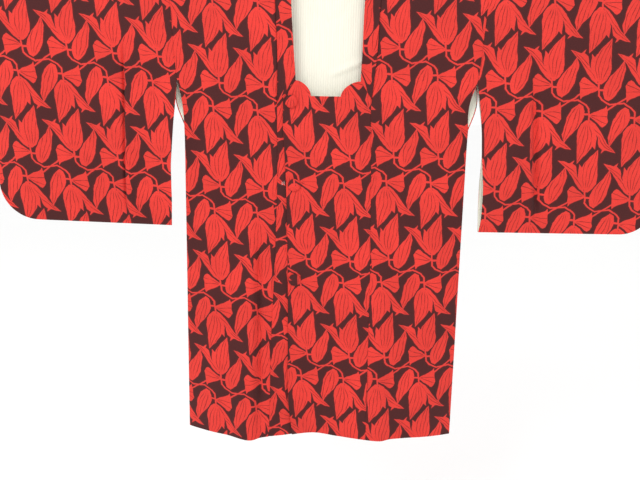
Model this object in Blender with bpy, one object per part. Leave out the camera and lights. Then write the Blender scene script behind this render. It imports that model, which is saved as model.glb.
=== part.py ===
"""Michiyuki coat, hung on a straight kimono hanger.

Metres, +Z up. The coat faces -Y, so the wearer's left is +X. The origin is the seat of the hook.
"across" is a place along X, "below" a depth under the shoulder line, and "face" the side of the
coat: FRONT or BACK. Cloth is laid out on its middle surface and then given its thickness.
"""
from collections import namedtuple
from functools import partial
from math import cos, pi, radians, sin, sqrt

import bmesh
import bpy
from mathutils import Vector

# Hanger: a rod through both sleeves, and a wire hook whose bend's inner top is the origin
ROD_RADIUS = 0.011
ROD_ENDS = (-0.664, 0.678)
ROD_END_ROUND = 0.006
ROD_END_ANGLES = (20, 50, 90)
ROD_STEPS = 24
HOOK_RISE = 0.085
HOOK_WIRE = 0.002
HOOK_BEND = 0.019
HOOK_TIP_ANGLE = 175
HOOK_BEND_ANGLE = 235
HOOK_BEND_PARTS = 12
HOOK_NECK_PARTS = 5
HOOK_NECK_SHARE = 0.75
HOOK_COLLAR = 0.006
HOOK_COLLAR_HEIGHT = 0.009
HOOK_COLLAR_GAP = 0.0007
HOOK_STEPS = 12

# Cloth: its thickness, the gap between pieces, and how far its middle hangs from the rod's axis
CLOTH = 0.0015
LINING = 0.001
GAP = 0.0003
LAYER = CLOTH + GAP
ARCH_STEP = 22.5
CREST_ANGLE = 0.72
HANG = (ROD_RADIUS + GAP) / cos(radians(ARCH_STEP / 2)) + CLOTH / 2
SEAM_SLACK = 0.00005
SEAM = CLOTH / 2 + GAP / 2 + SEAM_SLACK
ROD_Z = -HOOK_RISE
SHOULDER_Z = ROD_Z + HANG

# Linings: how far they lie in from the cloth's middle, and how far they stop short of its edges
LINING_IN = CLOTH / 2 + 2 * GAP + LINING / 2
LINING_INSET = 0.006
LINING_SLIT_INSET = 0.0018
LINING_SHORT = 0.018
SLEEVE_LINING_INSET = 0.0012
SLEEVE_LINING_TOP = 0.3
SLEEVE_LINING_ROWS_SHORT = 3

# Front and back of the body
SLIT_TOP = 0.2165
SLIT_BOTTOM = 0.304
SLIT_BOW = 0.0034
SIDE_CURVE = 0.070
HEM = 0.942
WAVE_TOP = 0.440
WAVE_POWER = 1.4
NECK_SEAM = 0.1025
BACK_NECK = 0.025
LIFT_FROM = 0.060
LIFT_TO = 0.190
LIFT_FADE = 0.100
FRONT = -1
BACK = 1
RIGHT = -1
LEFT = 1

# Neck opening in front: its corners, the lobes that round them and the mitres outside them
NECK_CORNER = 0.2160
NECK_BOTTOM = 0.2448
NECK_RIGHT = -0.0604
NECK_LEFT = 0.0637
LOBE_RIGHT_END = -0.0306
LOBE_LEFT_END = 0.0264
LOBE_POWER = 1.75
MITRE_UNDER_END = 0.262
MITRE_LEFT_END = 0.2485
FREE_CORNER = 0.2540
UNDER_TUCK = 0.003

# Sleeves
CUFF = 0.230
CUFF_EASE = 0.060
SLEEVE_BOTTOM = 0.5035
SLEEVE_CURVE = 0.110
SLEEVE_RIDGE = 0.007
SLEEVE_RIDGE_WIDTH = 0.030
SLEEVE_RIDGE_TOP = 0.200
FREE_EDGE_POWER = 1.3

# Buttons: the profile goes from the seat to near the top, in shares of the radius and height
BUTTON_RADIUS = 0.0123
BUTTON_HEIGHT = 0.0068
BUTTON_SEAT = 0.0005
BUTTON_STEPS = 16
Ring = namedtuple("Ring", "width height")
BUTTON_PROFILE = (
    Ring(0.86, 0.00),
    Ring(0.98, 0.12),
    Ring(1.00, 0.28),
    Ring(0.93, 0.55),
    Ring(0.70, 0.82),
    Ring(0.38, 0.96),
)

# Rows of points down the cloth, as depths below the shoulder, and columns across a panel, as
# shares of its width. Pieces that lie on each other or meet at a seam share them.
NECK_ROWS = (0.030, 0.070, 0.120, 0.165)
SLIT_ROW = 0.280
BACK_ROWS = (BACK_NECK, 0.070, 0.120, 0.165, SLIT_TOP, 0.245, SLIT_ROW)
LOWER_ROWS = (SLIT_BOTTOM, 0.370, 0.450, 0.530, 0.610, 0.690, 0.770, 0.845, 0.900)
SLEEVE_ROWS = (0.070, 0.120, 0.165, 0.200, SLIT_TOP, CUFF, 0.290, 0.350, 0.390)
SLEEVE_CORNER_ANGLES = (0, 22, 44, 64, 80, 90)
FRONT_COLUMNS = (0.0, 0.10, 0.20, 0.30, 0.42, 0.55, 0.68, 0.80, 0.91, 1.0)
BACK_COLUMNS_NECK = (0.35, 0.70, 1.0)
BACK_COLUMNS_OUTER = (0.15, 0.32, 0.48, 0.63, 0.77, 0.90, 1.0)
SLEEVE_COLUMNS = (0.0, 0.12, 0.22, 0.30, 0.40, 0.52, 0.66, 0.80, 0.91, 1.0)

# Lines down both front bands, as places across at their upper edge
BAND_COLUMNS = (-0.0604, -0.0500, -0.0410, -0.0338, -0.0307, 0.0, 0.0265, 0.0300, 0.0390, 0.0510, 0.0637)

# The ko-eri's neck edge has a point here, level with the top of the slit in its seam edge
STRIP_CORNER = 0.196

# One row for each height of the body. side is half the width; seam_right and seam_left are the
# seams of the tate-eri panels, neck_right and neck_left the edges of the neck opening; edge_top
# is the free edge of the panel that lies on top and edge_under that of the panel beneath it.
Level = namedtuple("Level", "below side seam_right seam_left neck_right neck_left edge_top edge_under")
LEVELS = (
    Level(0.0000, 0.3000, -0.1025, 0.1025, -0.0725, 0.0725, -0.0838, 0.0800),
    Level(0.0300, 0.2985, -0.1020, 0.1012, -0.0722, 0.0700, -0.0838, 0.0800),
    Level(0.0700, 0.2965, -0.1003, 0.0962, -0.0707, 0.0668, -0.0838, 0.0800),
    Level(0.1650, 0.2909, -0.0955, 0.0930, -0.0642, 0.0650, -0.0838, 0.0800),
    Level(0.2165, 0.2868, -0.0952, 0.0886, -0.0604, 0.0637, -0.0838, 0.0800),
    Level(0.2620, 0.2810, -0.0954, 0.0850, -0.0604, 0.0637, -0.0838, 0.0800),
    Level(0.3040, 0.2768, -0.0950, 0.0863, -0.0604, 0.0637, -0.0834, 0.0780),
    Level(0.4110, 0.2765, -0.0940, 0.0903, -0.0604, 0.0637, -0.0765, 0.0720),
    Level(0.6000, 0.2772, -0.0985, 0.0946, -0.0604, 0.0637, -0.0711, 0.0645),
    Level(0.7400, 0.2780, -0.1034, 0.0955, -0.0604, 0.0637, -0.0695, 0.0590),
    Level(0.8600, 0.2785, -0.1046, 0.0958, -0.0604, 0.0637, -0.0678, 0.0530),
    Level(0.9420, 0.2789, -0.1054, 0.0960, -0.0604, 0.0637, -0.0588, 0.0470),
)

# The waves of the hem, across the width in halves of it: how far the cloth swings out at the
# hem and how far the hem drops there. They fade out upwards.
Wave = namedtuple("Wave", "across out drop")
FRONT_WAVES = (
    Wave(-1.000, 0.000, -0.0035),
    Wave(-0.703, 0.025, -0.0024),
    Wave(-0.521, 0.048, -0.0020),
    Wave(-0.420, 0.032, -0.0015),
    Wave(-0.301, 0.022, -0.0010),
    Wave(-0.056, 0.002, 0.0000),
    Wave(0.132, 0.014, 0.0005),
    Wave(0.438, 0.032, 0.0015),
    Wave(0.535, 0.021, 0.0020),
    Wave(0.750, 0.009, 0.0030),
    Wave(1.000, 0.000, 0.0040),
)
BACK_WAVES = (
    Wave(-1.000, 0.000, -0.0035),
    Wave(-0.780, 0.012, -0.0028),
    Wave(-0.560, 0.030, -0.0020),
    Wave(-0.360, 0.010, -0.0012),
    Wave(-0.080, 0.006, 0.0000),
    Wave(0.180, 0.024, 0.0007),
    Wave(0.360, 0.012, 0.0014),
    Wave(0.620, 0.028, 0.0024),
    Wave(0.820, 0.010, 0.0032),
    Wave(1.000, 0.000, 0.0040),
)

# Sleeves as seen from the front: the outer edge, the bottom at the inner and outer ends, the
# rounding of the lower corner, how far the two layers' inner edges lie out at the bottom, and
# where a soft ridge runs down the front layer.
Sleeve = namedtuple("Sleeve", "name side outer bottom_in bottom_out corner front_in back_in ridge")
SLEEVES = (
    Sleeve("sleeve_right", RIGHT, 0.6455, 0.5040, 0.4975, 0.075, 0.3069, 0.3069, 0.392),
    Sleeve("sleeve_left", LEFT, 0.6600, 0.5050, 0.5035, 0.068, 0.3202, 0.3093, 0.475),
)

# The ko-eri strip where it passes over the hanger and round the back of the neck. Its seam is
# placed by an angle over the rod (90 in front, -90 behind) and a drop behind it, its neck edge
# from the rod's axis.
Turn = namedtuple("Turn", "over down seam_across edge_across edge_back edge_up")
NECK_TURN = (
    Turn(67.5, 0.0000, 0.1023, 0.0722, -0.0113, 0.0050),
    Turn(45.0, 0.0000, 0.1023, 0.0720, -0.0092, 0.0105),
    Turn(22.5, 0.0000, 0.1023, 0.0717, -0.0052, 0.0150),
    Turn(0.0, 0.0000, 0.1023, 0.0712, -0.0004, 0.0181),
    Turn(-22.5, 0.0000, 0.1023, 0.0705, 0.0050, 0.0202),
    Turn(-45.0, 0.0000, 0.1023, 0.0694, 0.0098, 0.0212),
    Turn(-67.5, 0.0000, 0.1023, 0.0680, 0.0130, 0.0215),
    Turn(-90.0, 0.0000, 0.1023, 0.0662, 0.0147, 0.0214),
    Turn(-90.0, 0.0065, 0.1023, 0.0632, 0.0152, 0.0211),
    Turn(-90.0, 0.0124, 0.1023, 0.0590, 0.0153, 0.0207),
    Turn(-90.0, 0.0124, 0.0880, 0.0520, 0.0153, 0.0203),
    Turn(-90.0, 0.0124, 0.0600, 0.0400, 0.0152, 0.0200),
    Turn(-90.0, 0.0124, 0.0300, 0.0220, 0.0150, 0.0200),
    Turn(-90.0, 0.0124, 0.0000, 0.0000, 0.0150, 0.0200),
)

Button = namedtuple("Button", "name across below")
BUTTONS = (
    Button("button_upper", -0.0683, 0.2559),
    Button("button_middle", -0.0604, 0.4161),
    Button("button_lower", -0.0572, 0.6073),
)

Finish = namedtuple("Finish", "colour roughness metallic")
FINISHES = {
    "cloth": Finish((0.55, 0.06, 0.04), 0.85, 0.0),
    "lining": Finish((0.86, 0.83, 0.74), 0.60, 0.0),
    "wood": Finish((0.42, 0.26, 0.14), 0.45, 0.0),
    "steel": Finish((0.75, 0.75, 0.76), 0.30, 1.0),
}


# Tables and curves

def read(rows, column, at):
    """Read a column of a table at a value of its first column, on a smooth curve."""
    keys = [row[0] for row in rows]
    values = [getattr(row, column) for row in rows]
    if at <= keys[0]:
        return values[0]
    if at >= keys[-1]:
        return values[-1]
    index = max(i for i in range(len(keys) - 1) if keys[i] <= at)
    slopes = []
    for i in (index, index + 1):
        low = max(i - 1, 0)
        high = min(i + 1, len(keys) - 1)
        slopes.append((values[high] - values[low]) / (keys[high] - keys[low]))
    span = keys[index + 1] - keys[index]
    t = (at - keys[index]) / span
    return (
        values[index] * (2 * t**3 - 3 * t**2 + 1)
        + values[index + 1] * (3 * t**2 - 2 * t**3)
        + slopes[0] * span * (t**3 - 2 * t**2 + t)
        + slopes[1] * span * (t**3 - t**2)
    )


def ease(start, end, at):
    """Go from 0 at start to 1 at end, gently at both."""
    t = min(max((at - start) / (end - start), 0.0), 1.0)
    return t * t * (3 - 2 * t)


def mix(start, end, share):
    return start + (end - start) * share


def swell(distance, reach):
    """Rise from 0 at a sewn edge to 1 where the cloth hangs free."""
    return sin(pi / 2 * min(max(distance, 0.0) / reach, 1.0))


def over_rod(below):
    """Half the distance between the two hanging layers, round the rod at the top."""
    if below >= HANG:
        return HANG
    return sqrt(max(2 * HANG * below - below**2, 0.0))


def arch_rows():
    """Depths below the shoulder of the rows that bend over the rod, from the crest's gap."""
    angles = [CREST_ANGLE, *(ARCH_STEP * step for step in (1, 2, 3, 4))]
    return [HANG * (1 - cos(radians(angle))) for angle in angles]


# Middle surface of the body

def body_side(face, below):
    """Half the body's width; the slit under the arm lies open as a lens."""
    side = read(LEVELS, "side", below)
    if SLIT_TOP < below < SLIT_BOTTOM:
        side += face * SLIT_BOW * sin(pi * (below - SLIT_TOP) / (SLIT_BOTTOM - SLIT_TOP))
    return side


def hem(face, across):
    """Depth of the hem below the shoulder line."""
    waves = FRONT_WAVES if face == FRONT else BACK_WAVES
    return HEM + read(waves, "drop", across / LEVELS[-1].side)


def body_middle(face, across, below):
    side = body_side(face, below)
    shut = ease(SLIT_TOP, SLIT_BOTTOM, below)
    apart = 1 - shut * (1 - swell(side - abs(across), SIDE_CURVE))
    waves = FRONT_WAVES if face == FRONT else BACK_WAVES
    fade = max((below - WAVE_TOP) / (HEM - WAVE_TOP), 0.0) ** WAVE_POWER
    out = read(waves, "out", across / side) * fade
    depth = SEAM + (HANG - SEAM) * apart if below > HANG else over_rod(below)
    return Vector((across, face * (depth + out), SHOULDER_Z - below))


# Middle surface of a sleeve

def sleeve_inner(sleeve, face, below):
    """Inner edge: on the armhole seam at first, then free down to the bottom."""
    if below <= SLIT_TOP:
        return read(LEVELS, "side", below)
    end = sleeve.front_in if face == FRONT else sleeve.back_in
    share = (below - SLIT_TOP) / (SLEEVE_BOTTOM - SLIT_TOP)
    return mix(read(LEVELS, "side", SLIT_TOP), end, share**FREE_EDGE_POWER)


def sleeve_outer(sleeve, below):
    """Outer edge, with the lower corner as an arc."""
    into = min(max(below - (SLEEVE_BOTTOM - sleeve.corner), 0.0), sleeve.corner)
    return sleeve.outer - sleeve.corner + sqrt(sleeve.corner**2 - into**2)


def sleeve_middle(sleeve, face, across, below):
    """across is counted outwards here, and below as if the bottom were level."""
    shut = ease(CUFF - CUFF_EASE, CUFF, below)
    apart = 1 - shut * (1 - swell(sleeve_outer(sleeve, below) - across, SIDE_CURVE))
    apart *= swell(SLEEVE_BOTTOM - below, SLEEVE_CURVE)
    depth = SEAM + (HANG - SEAM) * apart if below > HANG else over_rod(below)
    reach = min(abs(across - sleeve.ridge) / SLEEVE_RIDGE_WIDTH, 1.0)
    ridge = SLEEVE_RIDGE * (1 + cos(pi * reach)) / 2
    ridge *= ease(SLEEVE_RIDGE_TOP, SLEEVE_BOTTOM - SLEEVE_CURVE, below) * apart
    start = read(LEVELS, "side", SLIT_TOP)
    share = (across - start) / (sleeve.outer - sleeve.corner - start)
    bottom = mix(sleeve.bottom_in, sleeve.bottom_out, min(max(share, 0.0), 1.0))
    height = SHOULDER_Z - mix(below, below * bottom / SLEEVE_BOTTOM, ease(0, SLIT_TOP, below))
    return Vector((sleeve.side * across, face * (depth + ridge), height))


# Walls of cloth

def outward(middle, face, across, below):
    """Direction that points out of the coat, square to the middle surface."""
    here = middle(across, below)
    if below < HANG:
        return Vector((0, here.y, here.z - ROD_Z)).normalized()
    step = 0.0005
    along = middle(across + step, below) - middle(across - step, below)
    down = middle(across, below + step) - middle(across, below - step)
    normal = along.cross(down).normalized()
    return normal if normal.y * face > 0 else -normal


def sheet(middle, face, places, lift=None):
    """Turn rows of (across, below) places into rows of (point, outward) pairs."""
    rows = []
    for row in places:
        pairs = []
        for across, below in row:
            normal = outward(middle, face, across, below)
            point = middle(across, below)
            if lift:
                point += normal * lift(across, below)
            pairs.append((point, normal))
        rows.append(pairs)
    return rows


def moved(rows, distance):
    """The same sheet, moved out by a distance."""
    return [[(point + normal * distance, normal) for point, normal in row] for row in rows]


def between(first, second, share):
    """A pair on the straight line between two pairs of a sheet."""
    return (first[0].lerp(second[0], share), first[1].lerp(second[1], share).normalized())


def corners(rows, i, j):
    """Two triangles of a cell; every layer is split along the same diagonal, seen from in front."""
    ring = [(i, j), (i, j + 1), (i + 1, j + 1), (i + 1, j)]
    if rows[i][j][0].x > rows[i][j + 1][0].x:
        ring = ring[1:] + ring[:1]
    return (ring[0], ring[1], ring[2]), (ring[0], ring[2], ring[3])


def wall(name, rows, thickness, finish, keep=None):
    """Give a sheet its thickness: two faces and a rim round every edge, holes too."""
    mesh = bmesh.new()
    sides = []
    for half in (thickness / 2, -thickness / 2):
        sides.append([[mesh.verts.new(point + normal * half) for point, normal in row] for row in rows])
    rim = set()
    for i in range(len(rows) - 1):
        for j in range(len(rows[0]) - 1):
            if keep and not keep(i, j):
                continue
            for ring in corners(rows, i, j):
                mesh.faces.new([sides[0][a][b] for a, b in ring])
                mesh.faces.new([sides[1][a][b] for a, b in reversed(ring)])
                for start, end in zip(ring, ring[1:] + ring[:1]):
                    if (end, start) in rim:
                        rim.remove((end, start))
                    else:
                        rim.add((start, end))
    for (a, b), (c, d) in sorted(rim):
        mesh.faces.new([sides[0][c][d], sides[0][a][b], sides[1][a][b], sides[1][c][d]])
    bmesh.ops.delete(mesh, geom=[v for v in mesh.verts if not v.link_faces], context="VERTS")
    return finished(name, mesh, finish)


def finished(name, mesh, finish):
    """Make an object of a mesh, with its faces pointing out and its own material."""
    if mesh.calc_volume(signed=True) < 0:
        bmesh.ops.reverse_faces(mesh, faces=mesh.faces[:])
    data = bpy.data.meshes.new(name)
    mesh.to_mesh(data)
    mesh.free()
    data.shade_smooth()
    data.set_sharp_from_angle(angle=radians(40))
    look = FINISHES[finish]
    material = bpy.data.materials.new(name)
    material.use_nodes = True
    shader = material.node_tree.nodes["Principled BSDF"]
    shader.inputs["Base Color"].default_value = (*look.colour, 1.0)
    shader.inputs["Roughness"].default_value = look.roughness
    shader.inputs["Metallic"].default_value = look.metallic
    data.materials.append(material)
    item = bpy.data.objects.new(name, data)
    bpy.context.scene.collection.objects.link(item)
    return item


# Body panels

def lift_left(across, below):
    """The left front rises off the body's surface to lie over the right one."""
    seam = read(LEVELS, "seam_left", below)
    return LAYER * ease(LIFT_FROM, LIFT_TO, below) * (1 - ease(seam, seam + LIFT_FADE, across))


def front_panel(name, side):
    seam_column = "seam_left" if side == LEFT else "seam_right"
    mitre = MITRE_LEFT_END if side == LEFT else MITRE_UNDER_END
    places = []
    for below in [*arch_rows(), *NECK_ROWS, SLIT_TOP, mitre, SLIT_ROW, *LOWER_ROWS, HEM]:
        seam = abs(read(LEVELS, seam_column, below)) + GAP / 2
        edge = body_side(FRONT, below) - GAP / 2
        row = [side * mix(seam, edge, share) for share in FRONT_COLUMNS]
        places.append([(across, hem(FRONT, across) if below == HEM else below) for across in row])
    rows = sheet(partial(body_middle, FRONT), FRONT, places, lift_left if side == LEFT else None)
    return wall(name, rows, CLOTH, "cloth")


def back_sheet(side):
    """Half the back, from the centre seam to the side, over the shoulder beside the neck."""
    places = []
    for below in [*arch_rows(), *BACK_ROWS, *LOWER_ROWS, HEM]:
        edge = body_side(BACK, below) - GAP / 2
        neck = NECK_SEAM + GAP / 2
        row = [GAP / 2, *(neck * share for share in BACK_COLUMNS_NECK)]
        row += [mix(neck, edge, share) for share in BACK_COLUMNS_OUTER]
        row = [side * across for across in row]
        places.append([(across, hem(BACK, across) if below == HEM else below) for across in row])
    return sheet(partial(body_middle, BACK), BACK, places)


def back_panel(name, rows):
    """Cells inside the neck opening are left out."""
    first_row = len(arch_rows())
    first_column = len(BACK_COLUMNS_NECK)
    return wall(name, rows, CLOTH, "cloth", lambda i, j: i >= first_row or j >= first_column)


def back_lining(name, right_rows, left_rows):
    """One sheet on the inside of both back panels, short of the hem and the sides."""
    start = len(arch_rows())
    rows = []
    for below, right, left in zip([*BACK_ROWS, *LOWER_ROWS, HEM], right_rows[start:], left_rows[start:]):
        inset = LINING_SLIT_INSET if SLIT_TOP <= below < SLIT_BOTTOM else LINING_INSET
        ends = []
        for half in (right, left):
            width = (half[-1][0] - half[-2][0]).length
            ends.append(between(half[-1], half[-2], inset / width))
        centre = between(right[0], left[0], 0.5)
        rows.append([ends[0], *reversed(right[1:-1]), centre, *left[1:-1], ends[1]])
    lower = []
    for above, last in zip(rows[-2], rows[-1]):
        lower.append(between(last, above, LINING_SHORT / (last[0] - above[0]).length))
    rows[-1] = lower
    return wall(name, moved(rows, -LINING_IN), LINING, "lining")


# Front bands: the tate-eri panels

def lobe(across, corner, end):
    """Upper edge of the band along a lobe of the neck opening."""
    share = min(abs(across - corner) / abs(end - corner), 1.0)
    rise = (1 - share**LOBE_POWER) ** (1 / LOBE_POWER)
    return mix(NECK_BOTTOM, NECK_CORNER, rise)


def band_top(across):
    """Upper edge of the band that lies on top, from its free corner to its mitre."""
    if across <= NECK_RIGHT:
        share = (NECK_RIGHT - across) / (NECK_RIGHT - LEVELS[0].edge_top)
        return mix(NECK_CORNER, FREE_CORNER, share)
    if across >= NECK_LEFT:
        share = (across - NECK_LEFT) / (read(LEVELS, "seam_left", MITRE_LEFT_END) - NECK_LEFT)
        return mix(NECK_CORNER, MITRE_LEFT_END, share) + GAP
    if across < LOBE_RIGHT_END:
        return lobe(across, NECK_RIGHT, LOBE_RIGHT_END)
    if across > LOBE_LEFT_END:
        return lobe(across, NECK_LEFT, LOBE_LEFT_END)
    return NECK_BOTTOM


def band_under_top(across):
    """Upper edge of the band beneath: a mitre at its seam, then tucked below the other's edge."""
    if across <= NECK_RIGHT:
        seam = read(LEVELS, "seam_right", MITRE_UNDER_END)
        share = (NECK_RIGHT - across) / (NECK_RIGHT - seam)
        return mix(NECK_CORNER, MITRE_UNDER_END, share) + GAP
    if across > NECK_LEFT:
        share = (across - NECK_LEFT) / (LEVELS[0].edge_under - NECK_LEFT)
        return mix(NECK_CORNER, FREE_CORNER, share) + UNDER_TUCK
    return band_top(across) + UNDER_TUCK


def band_lines(below):
    """Places across of the lines that both bands share, from the right seam to the left one."""
    free = read(LEVELS, "edge_top", below)
    under = read(LEVELS, "edge_under", below)
    width = LEVELS[0].edge_under - LEVELS[0].edge_top
    inner = [mix(free, under, (at - LEVELS[0].edge_top) / width) for at in BAND_COLUMNS]
    seams = (read(LEVELS, "seam_right", below) + GAP / 2, read(LEVELS, "seam_left", below) - GAP / 2)
    return [seams[0], free, *inner, under, seams[1]]


def band_panel(name, on_top):
    chosen = slice(1, None) if on_top else slice(0, -1)
    top = band_top if on_top else band_under_top
    first = band_lines(SLIT_TOP)[chosen]
    if on_top:
        first[-1] = read(LEVELS, "seam_left", MITRE_LEFT_END) - GAP / 2
    else:
        first[0] = read(LEVELS, "seam_right", MITRE_UNDER_END) + GAP / 2
    places = [[(across, top(across)) for across in first]]
    for below in (SLIT_ROW, *LOWER_ROWS):
        places.append([(across, below) for across in band_lines(below)[chosen]])
    tuck = 0.0 if on_top else UNDER_TUCK
    places.append([(across, hem(FRONT, across) - tuck) for across in band_lines(HEM)[chosen]])
    rows = sheet(partial(body_middle, FRONT), FRONT, places)
    return wall(name, moved(rows, LAYER) if on_top else rows, CLOTH, "cloth")


# The ko-eri: a strip round the neck, from mitre to mitre

def strip_leg(side):
    """Rows of a front leg, from its mitre up to the rod: (seam point, neck edge)."""
    left = side == LEFT
    seam_column = "seam_left" if left else "seam_right"
    edge_column = "neck_left" if left else "neck_right"
    mitre = MITRE_LEFT_END if left else MITRE_UNDER_END

    def lift(across, below):
        return lift_left(0.0, below) if left else 0.0

    depths = [(mitre, NECK_CORNER), (SLIT_TOP, STRIP_CORNER)]
    depths += [(below, below) for below in (*NECK_ROWS[::-1], HANG)]
    places = []
    for seam, edge in depths:
        seam_across = read(LEVELS, seam_column, seam) - side * GAP / 2
        places.append([(seam_across, seam), (read(LEVELS, edge_column, edge), edge)])
    rows = sheet(partial(body_middle, FRONT), FRONT, places, lift)
    return [[point for point, _ in row] for row in rows]


def strip_turn(side):
    """Rows over the rod and round the back of the neck, to the centre back."""
    axis = Vector((0, 0, ROD_Z))
    rows = []
    for turn in NECK_TURN:
        angle = radians(turn.over)
        seam = Vector((side * turn.seam_across, -HANG * sin(angle), HANG * cos(angle) - turn.down))
        edge = Vector((side * turn.edge_across, turn.edge_back, turn.edge_up))
        rows.append([axis + seam, axis + edge])
    return rows


def ko_eri(name):
    right = strip_leg(RIGHT) + strip_turn(RIGHT)
    left = strip_leg(LEFT) + strip_turn(LEFT)
    edges = right + left[-2::-1]
    rows = []
    for i, (seam, edge) in enumerate(edges):
        before = edges[max(i - 1, 0)]
        after = edges[min(i + 1, len(edges) - 1)]
        run = (after[0] - before[0]).normalized() + (after[1] - before[1]).normalized()
        normal = run.cross(edge - seam).normalized()
        rows.append([(seam.lerp(edge, share), normal) for share in (0.0, 0.5, 1.0)])
    return wall(name, rows, CLOTH, "cloth")


# Sleeves

def sleeve_sheet(sleeve, face):
    corner = [SLEEVE_BOTTOM - sleeve.corner * (1 - sin(radians(a))) for a in SLEEVE_CORNER_ANGLES]
    places = []
    for below in [*arch_rows(), *SLEEVE_ROWS, *corner]:
        inner = sleeve_inner(sleeve, face, below) + GAP / 2
        outer = sleeve_outer(sleeve, below)
        places.append([(mix(inner, outer, share), below) for share in SLEEVE_COLUMNS])
    return sheet(partial(sleeve_middle, sleeve, face), face, places)


def sleeve_lining(name, rows):
    """A sheet inside the sleeve's back layer, from under the rod to above the bottom seam."""
    kept = rows[len(arch_rows()) - 1:-SLEEVE_LINING_ROWS_SHORT]
    kept[0] = [between(first, second, SLEEVE_LINING_TOP) for first, second in zip(kept[0], kept[1])]
    trimmed = []
    for row in kept:
        inner = between(row[0], row[1], SLEEVE_LINING_INSET / (row[1][0] - row[0][0]).length)
        trimmed.append([inner, *row[1:-1]])
    return wall(name, moved(trimmed, -LINING_IN), LINING, "lining")


# Round pieces: rings of points, joined in order and closed at both ends

def circle(mesh, centre, first, second, radius, steps):
    """A ring of points round a centre, from its first axis towards its second."""
    ring = []
    for step in range(steps):
        angle = 2 * pi * step / steps
        ring.append(mesh.verts.new(centre + (first * cos(angle) + second * sin(angle)) * radius))
    return ring


def close_rings(mesh, rings, first_tip, last_tip):
    count = len(rings[0])
    for low, high in zip(rings, rings[1:]):
        for i in range(count):
            j = (i + 1) % count
            mesh.faces.new([low[i], low[j], high[j], high[i]])
    for i in range(count):
        j = (i + 1) % count
        mesh.faces.new([rings[0][j], rings[0][i], first_tip])
        mesh.faces.new([rings[-1][i], rings[-1][j], last_tip])


def button(name, across, below):
    """A domed button covered in the cloth, seated on the band that lies on top."""
    middle = partial(body_middle, FRONT)
    normal = outward(middle, FRONT, across, below)
    seat = middle(across, below) + normal * (LAYER + CLOTH / 2 + BUTTON_SEAT)
    first = Vector((0, 0, 1)).cross(normal).normalized()
    second = normal.cross(first)
    mesh = bmesh.new()
    rings = []
    for width, height in BUTTON_PROFILE:
        centre = seat + normal * (height * BUTTON_HEIGHT)
        rings.append(circle(mesh, centre, first, second, width * BUTTON_RADIUS, BUTTON_STEPS))
    close_rings(mesh, rings, mesh.verts.new(seat), mesh.verts.new(seat + normal * BUTTON_HEIGHT))
    return finished(name, mesh, "cloth")


# Hanger

def hanger_rod(name):
    """A straight round rod with rounded ends, through both sleeves."""
    stations = []
    for angle in map(radians, ROD_END_ANGLES):
        into = ROD_END_ROUND * (1 - cos(angle))
        radius = ROD_RADIUS - ROD_END_ROUND * (1 - sin(angle))
        stations += [(ROD_ENDS[0] + into, radius), (ROD_ENDS[1] - into, radius)]
    mesh = bmesh.new()
    rings = []
    for across, radius in sorted(stations):
        centre = Vector((across, 0, ROD_Z))
        rings.append(circle(mesh, centre, Vector((0, 1, 0)), Vector((0, 0, 1)), radius, ROD_STEPS))
    tips = [mesh.verts.new((end, 0, ROD_Z)) for end in ROD_ENDS]
    close_rings(mesh, rings, *tips)
    return finished(name, mesh, "wood")


def hook_path():
    """Centre line of the hook's wire from its tip, round the bend and down to the collar."""
    centre = Vector((0, 0, HOOK_WIRE - HOOK_BEND))
    points = []
    for step in range(HOOK_BEND_PARTS + 1):
        angle = radians(HOOK_TIP_ANGLE - step * HOOK_BEND_ANGLE / HOOK_BEND_PARTS)
        points.append(centre + Vector((cos(angle), 0, sin(angle))) * HOOK_BEND)
    last = points[-1]
    foot = Vector((0, 0, ROD_Z + ROD_RADIUS + HOOK_COLLAR_HEIGHT))
    for step in range(1, HOOK_NECK_PARTS + 1):
        share = step / HOOK_NECK_PARTS
        height = mix(last.z, foot.z, share * HOOK_NECK_SHARE)
        points.append(Vector((last.x * (1 - share) ** 2, 0, height)))
    points.append(foot)
    return points


def hanger_hook(name):
    """Steel wire bent into a hook, on a collar that sits astride the rod."""
    points = hook_path()
    side = Vector((0, 1, 0))
    mesh = bmesh.new()
    rings = []
    for i, point in enumerate(points):
        run = (points[min(i + 1, len(points) - 1)] - points[max(i - 1, 0)]).normalized()
        rings.append(circle(mesh, point, side, run.cross(side), HOOK_WIRE, HOOK_STEPS))
    for _ in ("upper rim", "lower rim"):
        rings.append(circle(mesh, points[-1], side, Vector((1, 0, 0)), HOOK_COLLAR, HOOK_STEPS))
    for vertex in rings[-1]:
        vertex.co.z = ROD_Z + sqrt((ROD_RADIUS + HOOK_COLLAR_GAP) ** 2 - vertex.co.y**2)
    tip = mesh.verts.new(points[0] - (points[1] - points[0]).normalized() * (HOOK_WIRE / 2))
    foot = mesh.verts.new((0, 0, ROD_Z + ROD_RADIUS + HOOK_COLLAR_GAP))
    close_rings(mesh, rings, tip, foot)
    return finished(name, mesh, "steel")


def build():
    for item in list(bpy.data.objects):
        bpy.data.objects.remove(item, do_unlink=True)

    front_panel("front_right", RIGHT)
    front_panel("front_left", LEFT)
    band_panel("tate_eri_right", False)
    band_panel("tate_eri_left", True)
    ko_eri("ko_eri")
    back_right = back_sheet(RIGHT)
    back_left = back_sheet(LEFT)
    back_panel("back_right", back_right)
    back_panel("back_left", back_left)
    back_lining("lining_back", back_right, back_left)
    for sleeve in SLEEVES:
        wall(sleeve.name + "_front", sleeve_sheet(sleeve, FRONT), CLOTH, "cloth")
        rows = sleeve_sheet(sleeve, BACK)
        wall(sleeve.name + "_back", rows, CLOTH, "cloth")
        sleeve_lining("lining_" + sleeve.name, rows)
    for spot in BUTTONS:
        button(spot.name, spot.across, spot.below)
    hanger_rod("hanger_rod")
    hanger_hook("hanger_hook")


build()
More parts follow.
